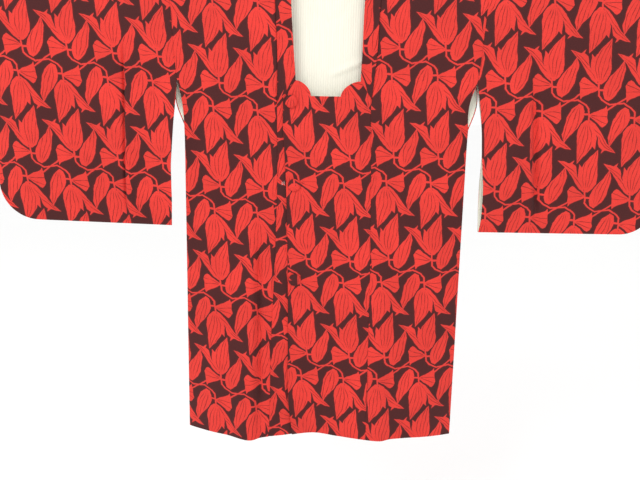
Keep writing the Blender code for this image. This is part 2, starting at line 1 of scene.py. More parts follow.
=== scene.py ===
"""Looks of the michiyuki coat: printed cloth, ribbed lining, covered buttons, threads and hanger.

Metres, +Z up, as in the CAD model. "across" is a place along X, "below" a depth under the shoulder
line, and "face" the side of the coat: FRONT or BACK. The tables of the coat's shape are the same
as in its source, except the slits and the sleeves' inner edges, which follow the photo more
closely. Each piece of cloth is a thin shell that stands for one or two CAD nodes.
"""
from collections import namedtuple
from functools import cache, partial
from math import asin, cos, exp, hypot, pi, radians, sin, sqrt

import bmesh
import bpy
from mathutils import Matrix, Vector, noise


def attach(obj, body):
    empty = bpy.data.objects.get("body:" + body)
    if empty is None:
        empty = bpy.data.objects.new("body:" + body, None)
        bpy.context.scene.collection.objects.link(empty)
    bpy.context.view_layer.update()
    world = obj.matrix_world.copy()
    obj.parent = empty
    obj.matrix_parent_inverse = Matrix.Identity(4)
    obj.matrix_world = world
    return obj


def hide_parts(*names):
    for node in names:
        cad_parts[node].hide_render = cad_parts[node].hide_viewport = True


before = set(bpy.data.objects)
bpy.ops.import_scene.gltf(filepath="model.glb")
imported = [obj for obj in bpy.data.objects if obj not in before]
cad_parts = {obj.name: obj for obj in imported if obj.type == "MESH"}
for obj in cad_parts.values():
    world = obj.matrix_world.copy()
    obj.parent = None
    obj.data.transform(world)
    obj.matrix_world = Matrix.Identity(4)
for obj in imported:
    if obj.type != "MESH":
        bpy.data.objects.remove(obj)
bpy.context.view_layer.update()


def table(columns, *rows):
    """Rows of numbers under named columns."""
    row = namedtuple("Row", columns)
    return [row(*values) for values in rows]


# Hanger and cloth, as in the source
ROD_RADIUS = 0.011
HOOK_RISE = 0.085
CLOTH = 0.0015
LINING = 0.001
GAP = 0.0003
JOIN = 0.00001
SEAM_SLACK = 0.00005
HALF_FACET = radians(11.25)
LAYER = CLOTH + GAP
HANG = (ROD_RADIUS + GAP) / cos(HALF_FACET) + CLOTH / 2
SEAM = CLOTH / 2 + GAP / 2 + SEAM_SLACK
ROD_Z = -HOOK_RISE
SHOULDER_Z = ROD_Z + HANG
LINING_IN = CLOTH / 2 + 2 * GAP + LINING / 2

# How much longer the cloth is over the rod than twice its depth
ROUND_ROD = (pi - 2) * HANG

# Faces and sides of the coat
FRONT = -1
BACK = 1
RIGHT = -1
LEFT = 1

# Body, as in the source
SLIT_TOP = 0.2165
SLIT_BOTTOM = 0.304
SIDE_CURVE = 0.070
HEM = 0.942
WAVE_TOP = 0.440
WAVE_POWER = 1.4
NECK_SEAM = 0.1025
BACK_NECK = 0.025
LIFT_FROM = 0.060
LIFT_TO = 0.190
LIFT_FADE = 0.100

# How far the edges of the slits under the arms stand off a straight side, and their lean, which
# puts the widest place above the middle if it is less than 1
SLIT_BOWS = {
    (FRONT, RIGHT): -0.0027,
    (FRONT, LEFT): -0.0072,
    (BACK, RIGHT): 0.0126,
    (BACK, LEFT): 0.0105,
}
SLIT_LEAN = 0.8

# Neck, bands, sleeves and buttons, as in the source
NECK_CORNER = 0.2160
NECK_BOTTOM = 0.2448
NECK_RIGHT = -0.0604
NECK_LEFT = 0.0637
LOBE_RIGHT_END = -0.0306
LOBE_LEFT_END = 0.0264
LOBE_POWER = 1.75
MITRE_UNDER_END = 0.262
MITRE_LEFT_END = 0.2485
FREE_CORNER = 0.2540
UNDER_TUCK = 0.003
HEM_TUCK = 0.0004
STRIP_CORNER = 0.196
CUFF = 0.230
CUFF_EASE = 0.060
SLEEVE_BOTTOM = 0.5035
SLEEVE_CURVE = 0.110
SLEEVE_RIDGE = 0.007
SLEEVE_RIDGE_WIDTH = 0.030
SLEEVE_RIDGE_TOP = 0.200
BUTTON_RADIUS = 0.0123
BUTTON_HEIGHT = 0.0068
BUTTON_SEAT = 0.0005

# Half the body's width, the band seams, the neck's edges and the bands' free edges, by depth
LEVELS = table(
    "below side seam_right seam_left neck_right neck_left edge_top edge_under",
    (0.0000, 0.3000, -0.1025, 0.1025, -0.0725, 0.0725, -0.0838, 0.0800),
    (0.0300, 0.2985, -0.1020, 0.1012, -0.0722, 0.0700, -0.0838, 0.0800),
    (0.0700, 0.2965, -0.1003, 0.0962, -0.0707, 0.0668, -0.0838, 0.0800),
    (0.1650, 0.2909, -0.0955, 0.0930, -0.0642, 0.0650, -0.0838, 0.0800),
    (0.2165, 0.2868, -0.0952, 0.0886, -0.0604, 0.0637, -0.0838, 0.0800),
    (0.2620, 0.2810, -0.0954, 0.0850, -0.0604, 0.0637, -0.0838, 0.0800),
    (0.3040, 0.2768, -0.0950, 0.0863, -0.0604, 0.0637, -0.0834, 0.0780),
    (0.4110, 0.2765, -0.0940, 0.0903, -0.0604, 0.0637, -0.0765, 0.0720),
    (0.6000, 0.2772, -0.0985, 0.0946, -0.0604, 0.0637, -0.0711, 0.0645),
    (0.7400, 0.2780, -0.1034, 0.0955, -0.0604, 0.0637, -0.0695, 0.0590),
    (0.8600, 0.2785, -0.1046, 0.0958, -0.0604, 0.0637, -0.0678, 0.0530),
    (0.9420, 0.2789, -0.1054, 0.0960, -0.0604, 0.0637, -0.0588, 0.0470),
)

# Waves of the hem, by place across as a share of the body's half width
WAVES = {
    FRONT: table(
        "across out drop",
        (-1.000, 0.000, -0.0035),
        (-0.703, 0.025, -0.0024),
        (-0.521, 0.048, -0.0020),
        (-0.420, 0.032, -0.0015),
        (-0.301, 0.022, -0.0010),
        (-0.056, 0.002, 0.0000),
        (0.132, 0.014, 0.0005),
        (0.438, 0.032, 0.0015),
        (0.535, 0.021, 0.0020),
        (0.750, 0.009, 0.0030),
        (1.000, 0.000, 0.0040),
    ),
    BACK: table(
        "across out drop",
        (-1.000, 0.000, -0.0035),
        (-0.780, 0.012, -0.0028),
        (-0.560, 0.030, -0.0020),
        (-0.360, 0.010, -0.0012),
        (-0.080, 0.006, 0.0000),
        (0.180, 0.024, 0.0007),
        (0.360, 0.012, 0.0014),
        (0.620, 0.028, 0.0024),
        (0.820, 0.010, 0.0032),
        (1.000, 0.000, 0.0040),
    ),
}

# Place across of the armhole seams' lower ends
ARMHOLE = LEVELS[4].side

# Depths at the inner and outer ends of the sleeves' bottoms, the lower corner's radius, and where
# the soft ridge and the sharp fold lie
Sleeve = namedtuple("Sleeve", "name side outer bottom_in bottom_out corner ridge fold")
SLEEVES = (
    Sleeve("sleeve_right", RIGHT, 0.6455, 0.5040, 0.4975, 0.075, 0.392, 0.3965),
    Sleeve("sleeve_left", LEFT, 0.6600, 0.5050, 0.5035, 0.068, 0.475, 0.4110),
)

# Inner edges of the sleeves, from the armhole seam's end down to the bottom
INNER_EDGES = table(
    "below right_front right_back left_front left_back",
    (0.2165, 0.2868, 0.2868, 0.2868, 0.2868),
    (0.2225, 0.2871, 0.2912, 0.2879, 0.2906),
    (0.2350, 0.2880, 0.2956, 0.2906, 0.2941),
    (0.2500, 0.2896, 0.2970, 0.2932, 0.2970),
    (0.2700, 0.2918, 0.2985, 0.2962, 0.3010),
    (0.3020, 0.2957, 0.3012, 0.3004, 0.3062),
    (0.3500, 0.3001, 0.3054, 0.3040, 0.3098),
    (0.3850, 0.3027, 0.3080, 0.3079, 0.3092),
    (0.4120, 0.3026, 0.3079, 0.3108, 0.3086),
    (0.4500, 0.3028, 0.3076, 0.3124, 0.3086),
    (0.4800, 0.3045, 0.3070, 0.3128, 0.3091),
    (0.5035, 0.3058, 0.3062, 0.3104, 0.3093),
)

# The neck strip's way over the rod and round the back of the neck, on the wearer's left
NECK_TURN = table(
    "over down seam_across edge_across edge_back edge_up",
    (67.5, 0.0000, 0.1023, 0.0722, -0.0113, 0.0050),
    (45.0, 0.0000, 0.1023, 0.0720, -0.0092, 0.0105),
    (22.5, 0.0000, 0.1023, 0.0717, -0.0052, 0.0150),
    (0.0, 0.0000, 0.1023, 0.0712, -0.0004, 0.0181),
    (-22.5, 0.0000, 0.1023, 0.0705, 0.0050, 0.0202),
    (-45.0, 0.0000, 0.1023, 0.0694, 0.0098, 0.0212),
    (-67.5, 0.0000, 0.1023, 0.0680, 0.0130, 0.0215),
    (-90.0, 0.0000, 0.1023, 0.0662, 0.0147, 0.0214),
    (-90.0, 0.0065, 0.1023, 0.0632, 0.0152, 0.0211),
    (-90.0, 0.0124, 0.1023, 0.0590, 0.0153, 0.0207),
    (-90.0, 0.0124, 0.0880, 0.0520, 0.0153, 0.0203),
    (-90.0, 0.0124, 0.0600, 0.0400, 0.0152, 0.0200),
    (-90.0, 0.0124, 0.0300, 0.0220, 0.0150, 0.0200),
    (-90.0, 0.0124, 0.0000, 0.0000, 0.0150, 0.0200),
)
NECK_ROWS = (0.030, 0.070, 0.120, 0.165)

# Linings: how far they stop short of the cloth's edges, the depth at which those of the sleeves
# start, and how much of its rectangle the back's fills
LINING_INSET = 0.006
LINING_SLIT_INSET = 0.0018
LINING_SHORT = 0.018
SLEEVE_LINING_INSET = 0.0012
SLEEVE_LINING_OUTER = 0.034
SLEEVE_LINING_SHORT = 0.045
SLEEVE_LINING_TOP = 0.030
LINING_FILL = 0.95

# The neck strip's width, and how much of its rectangle a band fills
STRIP_WIDTH = 0.030
BAND_FILL = 0.9

# Fineness of the shells, with the step that finds a surface's direction, the angle of a sharp
# edge, and the panel widths that set the number of columns
STEP = 0.005
PROBE = 0.0005
SHARP = radians(50)
FRONT_WIDTH = 0.19
SLEEVE_WIDTH = 0.35
ARCH_STEPS = 8
EDGE_STEPS = (0.0, 0.0012, 0.0028, 0.0050)
LOBE_STEPS = 12
CORNER_STEPS = 18
LINING_COLUMNS = 110
SLEEVE_LINING_COLUMNS = 50
STRIP_SHARES = (0.0, 0.04, 0.09, 0.16, 0.3, 0.45, 0.6, 0.75, 0.86, 0.94, 1.0)
TURN_PARTS = 3

# The bands' rows are level from this depth on, and follow their upper edge less and less above it
BAND_LEVEL = 0.280
BAND_STEP = 0.15

# How the cloth dips where it goes into a seam, how the neck strip swells between its edges, and
# how many columns at the sides of the body are turned in
SEAM_DIP = 0.0011
SEAM_DIP_REACH = 0.0030
STRIP_DIP_REACH = 0.10
STRIP_SWELL = 0.0006
STRIP_SWELL_POWER = 0.7
TURNED_COLUMNS = 2

# How far the top band's free edge stands up, how far in that reaches, and its unevenness: share,
# waves and shift of each part
FREE_LIFT = 0.0018
FREE_LIFT_REACH = 0.020
FREE_WAVES = ((0.5, 31.0, 0.0), (0.4, 83.0, 1.0))

# Buttons: the way round their profile from the underside to the top, in half turns, how far they
# draw in beneath, the height of their widest place as a share, the radius of their top's middle,
# the angle of a sharp edge, and the pleats of the drawn cloth
BUTTON_RINGS = 14
BUTTON_STEPS = 48
BUTTON_TURN = (-0.42, 0.5)
BUTTON_DRAWN = 0.8
BUTTON_WIDEST = 0.28
BUTTON_TIP = 0.00001
BUTTON_SHARP = radians(60)
PLEATS = 9
PLEAT = 0.012

# Threads
THREAD_RADIUS = 0.0003
THREAD_STAND = 0.0011
THREAD_POINTS = 9

# Soft creases: across and below of both ends, how far the cloth stands out there, or in if it is
# negative, and half the width. They fade out at their ends. The sharp folds lie on the fronts of
# the sleeves. The lining's creases stand out towards the inside of the coat.
CREASE_FADE = ((-0.12, 0.25), (0.75, 1.12))
CREASES = {
    FRONT: (
        (-0.131, 0.500, -0.127, 0.930, -0.0098, 0.0066),
        (-0.178, 0.330, -0.205, 0.560, -0.0012, 0.016),
        (-0.235, 0.380, -0.215, 0.900, 0.0016, 0.018),
        (-0.255, 0.640, -0.248, 0.930, -0.0012, 0.011),
        (-0.150, 0.120, -0.185, 0.330, 0.0010, 0.022),
        (-0.262, 0.130, -0.225, 0.300, -0.0009, 0.014),
        (0.140, 0.600, 0.146, 0.935, -0.0015, 0.010),
        (0.196, 0.310, 0.230, 0.640, 0.0012, 0.020),
        (0.246, 0.520, 0.238, 0.930, -0.0013, 0.012),
        (0.262, 0.160, 0.205, 0.300, -0.0009, 0.015),
        (0.018, 0.500, 0.006, 0.935, -0.0012, 0.016),
        (-0.040, 0.640, -0.044, 0.935, 0.0010, 0.010),
    ),
    BACK: (
        (-0.210, 0.260, -0.190, 0.900, 0.0016, 0.020),
        (-0.110, 0.420, -0.128, 0.930, -0.0020, 0.014),
        (-0.245, 0.230, -0.160, 0.330, -0.0010, 0.014),
        (0.085, 0.380, 0.095, 0.930, -0.0018, 0.014),
        (0.225, 0.300, 0.205, 0.880, 0.0016, 0.020),
        (0.250, 0.240, 0.150, 0.320, -0.0010, 0.014),
        (0.020, 0.060, -0.120, 0.170, 0.0009, 0.020),
    ),
}
SLEEVE_FOLDS = {
    "sleeve_right": (
        (0.3882, 0.150, 0.3942, 0.500, -0.0084, 0.0032),
        (0.3942, 0.150, 0.4002, 0.500, -0.0038, 0.0080),
    ),
    "sleeve_left": (
        (0.3965, 0.220, 0.4245, 0.500, -0.0108, 0.0066),
    ),
}
SLEEVE_CREASES = {
    FRONT: (
        (0.330, 0.250, 0.350, 0.450, -0.0009, 0.016),
        (0.520, 0.180, 0.500, 0.470, 0.0010, 0.026),
        (0.590, 0.120, 0.560, 0.400, -0.0009, 0.018),
    ),
    BACK: (
        (0.370, 0.230, 0.365, 0.480, 0.0016, 0.018),
        (0.470, 0.150, 0.480, 0.470, -0.0013, 0.018),
        (0.580, 0.200, 0.560, 0.430, 0.0012, 0.020),
    ),
}
LINING_CREASES = (
    (0.082, 0.171, 0.006, 0.204, 0.0036, 0.0048),
    (-0.048, 0.062, -0.026, 0.098, -0.0014, 0.007),
    (-0.028, 0.097, 0.001, 0.106, -0.0014, 0.007),
    (-0.002, 0.106, 0.026, 0.097, -0.0014, 0.007),
    (0.024, 0.098, 0.042, 0.062, -0.0014, 0.007),
    (-0.052, 0.080, -0.046, 0.230, 0.0012, 0.012),
    (0.050, 0.070, 0.046, 0.140, -0.0012, 0.012),
)

# Columns set close together where a sleeve's sharp fold lies, and the cloth's slight unevenness:
# its height, its size across, how many times longer it is downwards, and seeds
FOLD_COLUMNS = 12
FOLD_STEP = 0.0012
RIPPLE = 0.0007
RIPPLE_SIZE = 0.075
RIPPLE_STRETCH = 2.2
BODY_SEED = 3.1
SLEEVE_SEEDS = (7.3, 1.7)

# How far down the creases and the unevenness set in, and how loose the cloth is at sewn edges
LOOSE_FROM = (0.03, 0.10)
BODY_LOOSE = 0.25
SLEEVE_LOOSE = 0.2

# The print. Each panel was cut from another place of the cloth: where one knot of the upper
# leaves lies on it, how wide and tall the repeat is there against the chart, how far its rows
# slope down towards +X, and how far its columns go towards +X on the way down.
Cut = namedtuple("Cut", "across below wide tall slope drift", defaults=(1.0, 1.0, 0.0, 0.0))
CUTS = {
    "body_right": Cut(-0.1334, 0.0765, 0.966, 0.971, 0.067, 0.000),
    "body_left": Cut(0.1215, 0.2032, 0.990, 0.991, 0.009, -0.010),
    "tate_eri_left": Cut(-0.0415, 0.8134, 0.995, 0.984, 0.030, 0.025),
    "tate_eri_right": Cut(-0.1354, 0.3390, 0.973, 0.966, 0.257, -0.022),
    "ko_eri": Cut(-0.0426, 0.1460),
    "sleeve_right": Cut(-0.4189, 0.2199, 0.967, 0.980, 0.056, 0.017),
    "sleeve_left": Cut(0.4133, 0.2662, 1.014, 1.009, 0.052, -0.023),
}

# The strip's legs are turned in round the back of the neck, so more of its length goes there than
# its middle line has: this many times as much
NECK_PRINT = 1.384

# Buttons, as in the source, with their own cuts
BUTTONS = (
    ("button_upper", -0.0683, 0.2559, Cut(0.024, 0.008)),
    ("button_middle", -0.0604, 0.4161, Cut(-0.001, -0.013)),
    ("button_lower", -0.0572, 0.6073, Cut(0.021, -0.066)),
)

# White tacks left in the cloth beside two buttons: start, end and layers of cloth beneath
TACKS = (
    ("tack_outer", (-0.0845, 0.4100), (-0.0838, 0.4165), 0),
    ("tack_inner", (-0.0806, 0.4095), (-0.0800, 0.4160), 0),
    ("tack_lower", (-0.0892, 0.6100), (-0.0878, 0.6106), 0),
)

# The chart of the print, in millimetres, with +Y up. A shape runs from its start to its tip, and
# its two sides are points on the way. Its veins run from the start to the tip too: how many, how
# far their middle one bows aside and how wide they spread, both at mid-length, and how far they
# close at the tip. Strokes are stems and vines, with their start, end and half width. Half a turn
# about the middle of two knots gives the leaves of the other row: OTHER_KNOT is twice that middle.
# No side of a shape lies farther than CHART_REACH from the line between its start and tip.
REPEAT = (88.0, 205.0)
OTHER_KNOT = (13.5, 50.5)
CHART_REACH = 34.0
Shape = namedtuple("Shape", "start tip veins bow spread close low high")
SHAPES = (
    Shape(
        (-20, 22), (-41, -56), 3, 1.5, 12, 1,
        low=((-27, 15.5), (-33.5, 9), (-41, -7), (-43.5, -25.5), (-46, -39)),
        high=((-12, 17), (-9, 7.5), (-8.5, -2.5), (-11.5, -12), (-19, -25), (-32, -40)),
    ),
    Shape(
        (0, -8), (-13, -93.5), 4, 5, 16, 1,
        low=((-3.5, -9), (-12, -17), (-17.5, -27), (-18.5, -40), (-16, -58), (-14.5, -78)),
        high=((5, -9.5), (15, -24), (21, -41), (20.5, -54.5), (14, -56.5), (12, -61.5),
              (2, -76), (-5.5, -83.5)),
    ),
    Shape(
        (2, -8), (62, -67), 2, -6.5, 5, 1,
        low=((8, -20), (22.5, -40), (24.5, -48), (27, -57), (33, -61.5), (43.5, -63),
             (50, -65)),
        high=((6, -9), (15, -15), (24.5, -25.5), (34.5, -39.5), (42, -49), (53, -59)),
    ),
    Shape(
        (0, 0), (38.5, -9), 2, 2, 7, 0,
        low=((4, -3.5), (19.5, -13.5), (25.5, -18.5), (29.5, -20), (34, -16.5)),
        high=((2, 2.6), (9.5, 7), (21.5, 12.4), (29, 16.5), (32.5, 21.5), (35, 10), (35.8, -1)),
    ),
    Shape(
        (15.5, -44), (20.5, -62.5), 0, 0, 0, 0,
        low=((13, -50), (14.5, -56.5)),
        high=((19.5, -46), (20.3, -56)),
    ),
    Shape(
        (41.5, -55), (32, -69.5), 0, 0, 0, 0,
        low=((36, -58.5), (33.5, -65)),
        high=((44, -59.5), (38, -64.5)),
    ),
)
STROKES = (
    ((0.5, 2), (2, -11), 1.7),
    ((0, 2), (-10, 2.2), 1.9),
    ((0, 2), (-1, 12.5), 1.7),
    ((-1, 12.5), (-7.5, 19.5), 1.6),
    ((-7.5, 19.5), (-24, 27.8), 1.5),
    ((-24, 27.8), (-37.25, 25.25), 1.5),
    ((-37.25, 25.25), (-54.5, 12), 1.5),
)

# Veins, in millimetres: how far they wander, how fast, where their edge, the outermost one and
# those near a shape's outline fade, and where along a shape they set in
VEIN_WANDER = 4.0
VEIN_WAVE = 0.030
VEIN_EDGE = (1.05, 0.15)
VEIN_OUTER = 0.4
VEIN_INSIDE = (0.8, 2.4)
VEIN_START = (0.06, 0.20)

# Outlines, in millimetres: how unevenly they are cut, how blurred they are, how wide the rim of a
# leaf and the ground near it are, how far a shape's two sides cross at its ends and at what share
# of its length they start to, and what a place far outside every shape gets
ROUGHNESS = 3.4
ROUGH_WAVE = 0.075
BLUR = 0.3
RIM_WIDTH = (1.1, 0.3)
NEAR_WIDTH = (-0.4, -4.0)
OUTSIDE = 3.0
END_SHARE = 0.012
NOWHERE = -10.0

# Pitches of the weaves and of the lining's ribs, in millimetres
WEAVE_PITCH = 0.9
LINING_WEAVE_PITCH = 0.6
RIB_PITCH = 4.6

# Colours, as linear values
RED = (0.655, 0.036, 0.026)
VEIN = (0.19, 0.010, 0.009)
RIM = (0.52, 0.044, 0.046)
GROUND = (0.058, 0.0085, 0.0085)
GROUND_NEAR = (0.092, 0.008, 0.007)
CREAM = (0.785, 0.760, 0.650)
THREAD = (0.92, 0.88, 0.80)
WOOD = ((0.30, 0.145, 0.060), (0.50, 0.29, 0.145))
PORE = (0.16, 0.07, 0.03)
STEEL = ((0.52, 0.52, 0.53), (0.78, 0.78, 0.79))
PAPER = (0.985, 0.985, 0.98)
WHITE = (1.0, 1.0, 1.0)

# Camera: a usual lens that looks down a little, on the plane of the rod
CAMERA_LENS = 36.0
CAMERA_DISTANCE = 1.2928
CAMERA_TILT = radians(11.574)
CAMERA_ROLL = radians(1.2)
CAMERA_AIM = Vector((-0.0075, 0.0, SHOULDER_Z - 0.528))
CAMERA_SENSOR = 36.0
CAMERA_CLIP = (0.01, 100.0)

# Floor, and lamps: place, width and power
FLOOR_BELOW = 1.45
FLOOR_REACH = 60.0
WORLD_LIGHT = 1.0
LAMP_AIM = Vector((0.0, 0.0, -0.5))
LAMPS = (
    ("key", (-1.5, -2.2, 1.3), 1.4, 36.0),
    ("front", (0.5, -2.5, 0.3), 1.0, 18.0),
)


# Tables and curves

def curve(first, second, leaving, arriving, t):
    """A smooth way between two numbers or points, with the slopes in which it leaves and arrives."""
    return (
        first * (2 * t**3 - 3 * t**2 + 1)
        + second * (3 * t**2 - 2 * t**3)
        + leaving * (t**3 - 2 * t**2 + t)
        + arriving * (t**3 - t**2)
    )


def read(rows, column, at):
    """Read a column of a table at a value of its first column, on a smooth curve."""
    keys = [row[0] for row in rows]
    values = [getattr(row, column) for row in rows]
    if at <= keys[0]:
        return values[0]
    if at >= keys[-1]:
        return values[-1]
    index = max(i for i in range(len(keys) - 1) if keys[i] <= at)
    span = keys[index + 1] - keys[index]
    slopes = []
    for i in (index, index + 1):
        low = max(i - 1, 0)
        high = min(i + 1, len(keys) - 1)
        slopes.append((values[high] - values[low]) / (keys[high] - keys[low]) * span)
    return curve(values[index], values[index + 1], *slopes, (at - keys[index]) / span)


def ease(start, end, at):
    """Go from 0 at start to 1 at end, gently at both."""
    t = min(max((at - start) / (end - start), 0.0), 1.0)
    return t * t * (3 - 2 * t)


def mix(start, end, share):
    return start + (end - start) * share


def swell(distance, reach):
    """Rise from 0 at a sewn edge to 1 where the cloth hangs free."""
    return sin(pi / 2 * min(max(distance, 0.0) / reach, 1.0))


def fall(distance, reach):
    """1 at an edge, and gently down to 0 at a distance from it."""
    return (1 - min(max(distance / reach, 0.0), 1.0)) ** 2


def layer_depth(apart, below):
    """Half the distance between the two layers: round the rod at the top, then as far as they part."""
    if below > HANG:
        return SEAM + (HANG - SEAM) * apart
    return sqrt(max(2 * HANG * below - below**2, 0.0))


def even(start, end, count):
    """A number of even steps between two values, with both."""
    return [mix(start, end, i / count) for i in range(count + 1)]


def steps(start, end, size=STEP):
    """Even steps of about a size between two values, without the last one."""
    return even(start, end, max(round(abs(end - start) / size), 1))[:-1]


def marked(*marks):
    """Even steps from each mark to the next, without the last one."""
    return [place for start, end in zip(marks, marks[1:]) for place in steps(start, end)]


def arch_rows():
    """Depths below the shoulder of the rows that bend over the rod."""
    return [HANG * (1 - cos(pi / 2 * step / ARCH_STEPS)) for step in range(ARCH_STEPS)]


def spread(width):
    """Places from 0 to a width, closer together beside both ends."""
    far = [width - step for step in EDGE_STEPS[::-1]]
    return [*EDGE_STEPS[:-1], *steps(EDGE_STEPS[-1], far[0]), *far]


# Soft forms of the hanging cloth

def crease_at(creases, across, below):
    """How far creases push the cloth out at a place."""
    out = 0.0
    for start_across, start_below, end_across, end_below, stand, width in creases:
        run = (end_across - start_across, end_below - start_below)
        length = hypot(*run)
        offset = (across - start_across, below - start_below)
        along = (offset[0] * run[0] + offset[1] * run[1]) / length**2
        aside = (offset[0] * run[1] - offset[1] * run[0]) / length
        fade = ease(*CREASE_FADE[0], along) * (1 - ease(*CREASE_FADE[1], along))
        out += stand * fade * exp(-((aside / width) ** 2))
    return out


def ripple(across, below, seed):
    """Slight unevenness of cloth that hangs."""
    place = Vector((across / RIPPLE_SIZE, below / (RIPPLE_STRETCH * RIPPLE_SIZE), seed))
    return RIPPLE * noise.noise(place)


# Middle surface of the body

def body_side(face, side, below):
    """Half the body's width; the slit under the arm lies open as a lens, wider above its middle."""
    half = read(LEVELS, "side", below)
    if SLIT_TOP < below < SLIT_BOTTOM:
        share = (below - SLIT_TOP) / (SLIT_BOTTOM - SLIT_TOP)
        half += SLIT_BOWS[face, side] * sin(pi * share**SLIT_LEAN)
    return half


def hem(face, across):
    """Depth of the hem below the shoulder line."""
    return HEM + read(WAVES[face], "drop", across / LEVELS[-1].side)


def body_middle(face, across, below):
    side = body_side(face, LEFT if across > 0 else RIGHT, below)
    shut = ease(SLIT_TOP, SLIT_BOTTOM, below)
    apart = 1 - shut * (1 - swell(side - abs(across), SIDE_CURVE))
    fade = max((below - WAVE_TOP) / (HEM - WAVE_TOP), 0.0) ** WAVE_POWER
    out = read(WAVES[face], "out", across / side) * fade
    loose = ease(*LOOSE_FROM, below) * min(apart + BODY_LOOSE, 1.0)
    out += loose * (crease_at(CREASES[face], across, below) + ripple(across, below, face * BODY_SEED))
    return Vector((across, face * (layer_depth(apart, below) + out), SHOULDER_Z - below))


# Middle surface of a sleeve

def sleeve_inner(sleeve, face, below):
    """Inner edge: on the armhole seam at first, then free down to the bottom."""
    if below <= SLIT_TOP:
        return read(LEVELS, "side", below)
    side = "left" if sleeve.side == LEFT else "right"
    return read(INNER_EDGES, side + ("_front" if face == FRONT else "_back"), below)


def sleeve_outer(sleeve, below):
    """Outer edge, with the lower corner as an arc."""
    into = min(max(below - (SLEEVE_BOTTOM - sleeve.corner), 0.0), sleeve.corner)
    return sleeve.outer - sleeve.corner + sqrt(sleeve.corner**2 - into**2)


def sleeve_middle(sleeve, face, across, below):
    """across is counted outwards here, and below as if the bottom were level."""
    shut = ease(CUFF - CUFF_EASE, CUFF, below)
    apart = 1 - shut * (1 - swell(sleeve_outer(sleeve, below) - across, SIDE_CURVE))
    apart *= swell(SLEEVE_BOTTOM - below, SLEEVE_CURVE)
    reach = min(abs(across - sleeve.ridge) / SLEEVE_RIDGE_WIDTH, 1.0)
    ridge = SLEEVE_RIDGE * (1 + cos(pi * reach)) / 2
    ridge *= ease(SLEEVE_RIDGE_TOP, SLEEVE_BOTTOM - SLEEVE_CURVE, below) * apart
    folds = SLEEVE_FOLDS[sleeve.name] if face == FRONT else ()
    soft = crease_at(folds + SLEEVE_CREASES[face], across, below)
    soft += ripple(across, below, sleeve.side * SLEEVE_SEEDS[0] + face * SLEEVE_SEEDS[1])
    out = ridge + soft * ease(*LOOSE_FROM, below) * min(apart + SLEEVE_LOOSE, 1.0)
    share = (across - ARMHOLE) / (sleeve.outer - sleeve.corner - ARMHOLE)
    bottom = mix(sleeve.bottom_in, sleeve.bottom_out, min(max(share, 0.0), 1.0))
    height = SHOULDER_Z - mix(below, below * bottom / SLEEVE_BOTTOM, ease(0, SLIT_TOP, below))
    return Vector((sleeve.side * across, face * (layer_depth(apart, below) + out), height))


# Shells of cloth: rows of (point, outward, flat place) on the middle surface

Spot = namedtuple("Spot", "point outward flat")


def outward(middle, face, across, below):
    """Direction that points out of the coat, square to the middle surface."""
    if below < HANG:
        here = middle(face, across, below)
        return Vector((0, here.y, here.z - ROD_Z)).normalized()
    along = middle(face, across + PROBE, below) - middle(face, across - PROBE, below)
    down = middle(face, across, below + PROBE) - middle(face, across, below - PROBE)
    normal = along.cross(down).normalized()
    return normal if normal.y * face > 0 else -normal


def flat_place(face, point, below):
    """Where a point lies on the cloth laid flat; the back goes on over the shoulder."""
    around = HANG * asin(min(max(1 - below / HANG, -1.0), 1.0)) if below < HANG else 0.0
    depth = HANG - around if below < HANG else SHOULDER_Z - point.z
    return (point.x, depth if face == FRONT else -depth - ROUND_ROD)


def sheet(middle, face, places, lift=None):
    """Turn rows of (across, below) places into rows of spots."""
    rows = []
    for row in places:
        spots = []
        for across, below in row:
            normal = outward(middle, face, across, below)
            point = middle(face, across, below)
            flat = flat_place(face, point, below)
            rise = lift(across, below) if lift else 0.0
            spots.append(Spot(point + normal * rise, normal, flat))
        rows.append(spots)
    return rows


def print_place(cut, flat):
    """Place on the print's chart, in metres, of a place on the flat cloth."""
    down = flat[1] - cut.below
    across = flat[0] - cut.across - cut.drift * down
    return (across / cut.wide, -(down - cut.slope * across) / cut.tall)


def add_object(name, data):
    """Link a new object into the scene."""
    item = bpy.data.objects.new(name, data)
    bpy.context.scene.collection.objects.link(item)
    return item


def new_mesh():
    """An empty mesh with a layer for places on the print."""
    mesh = bmesh.new()
    mesh.loops.layers.uv.new("cloth")
    return mesh


def finished(name, mesh, places, looks, sharp, nodes):
    """Make a piece of a mesh with its places on the print. It rides on the coat's only body."""
    uv = mesh.loops.layers.uv["cloth"]
    for face in mesh.faces:
        for loop in face.loops:
            loop[uv].uv = places[loop.vert]
    if mesh.calc_volume(signed=True) < 0:
        bmesh.ops.reverse_faces(mesh, faces=mesh.faces[:])
    data = bpy.data.meshes.new(name)
    mesh.to_mesh(data)
    mesh.free()
    data.shade_smooth()
    data.set_sharp_from_angle(angle=sharp)
    for material in looks:
        data.materials.append(material)
    piece = add_object(name, data)
    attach(piece, "root")
    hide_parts(*nodes)
    return piece


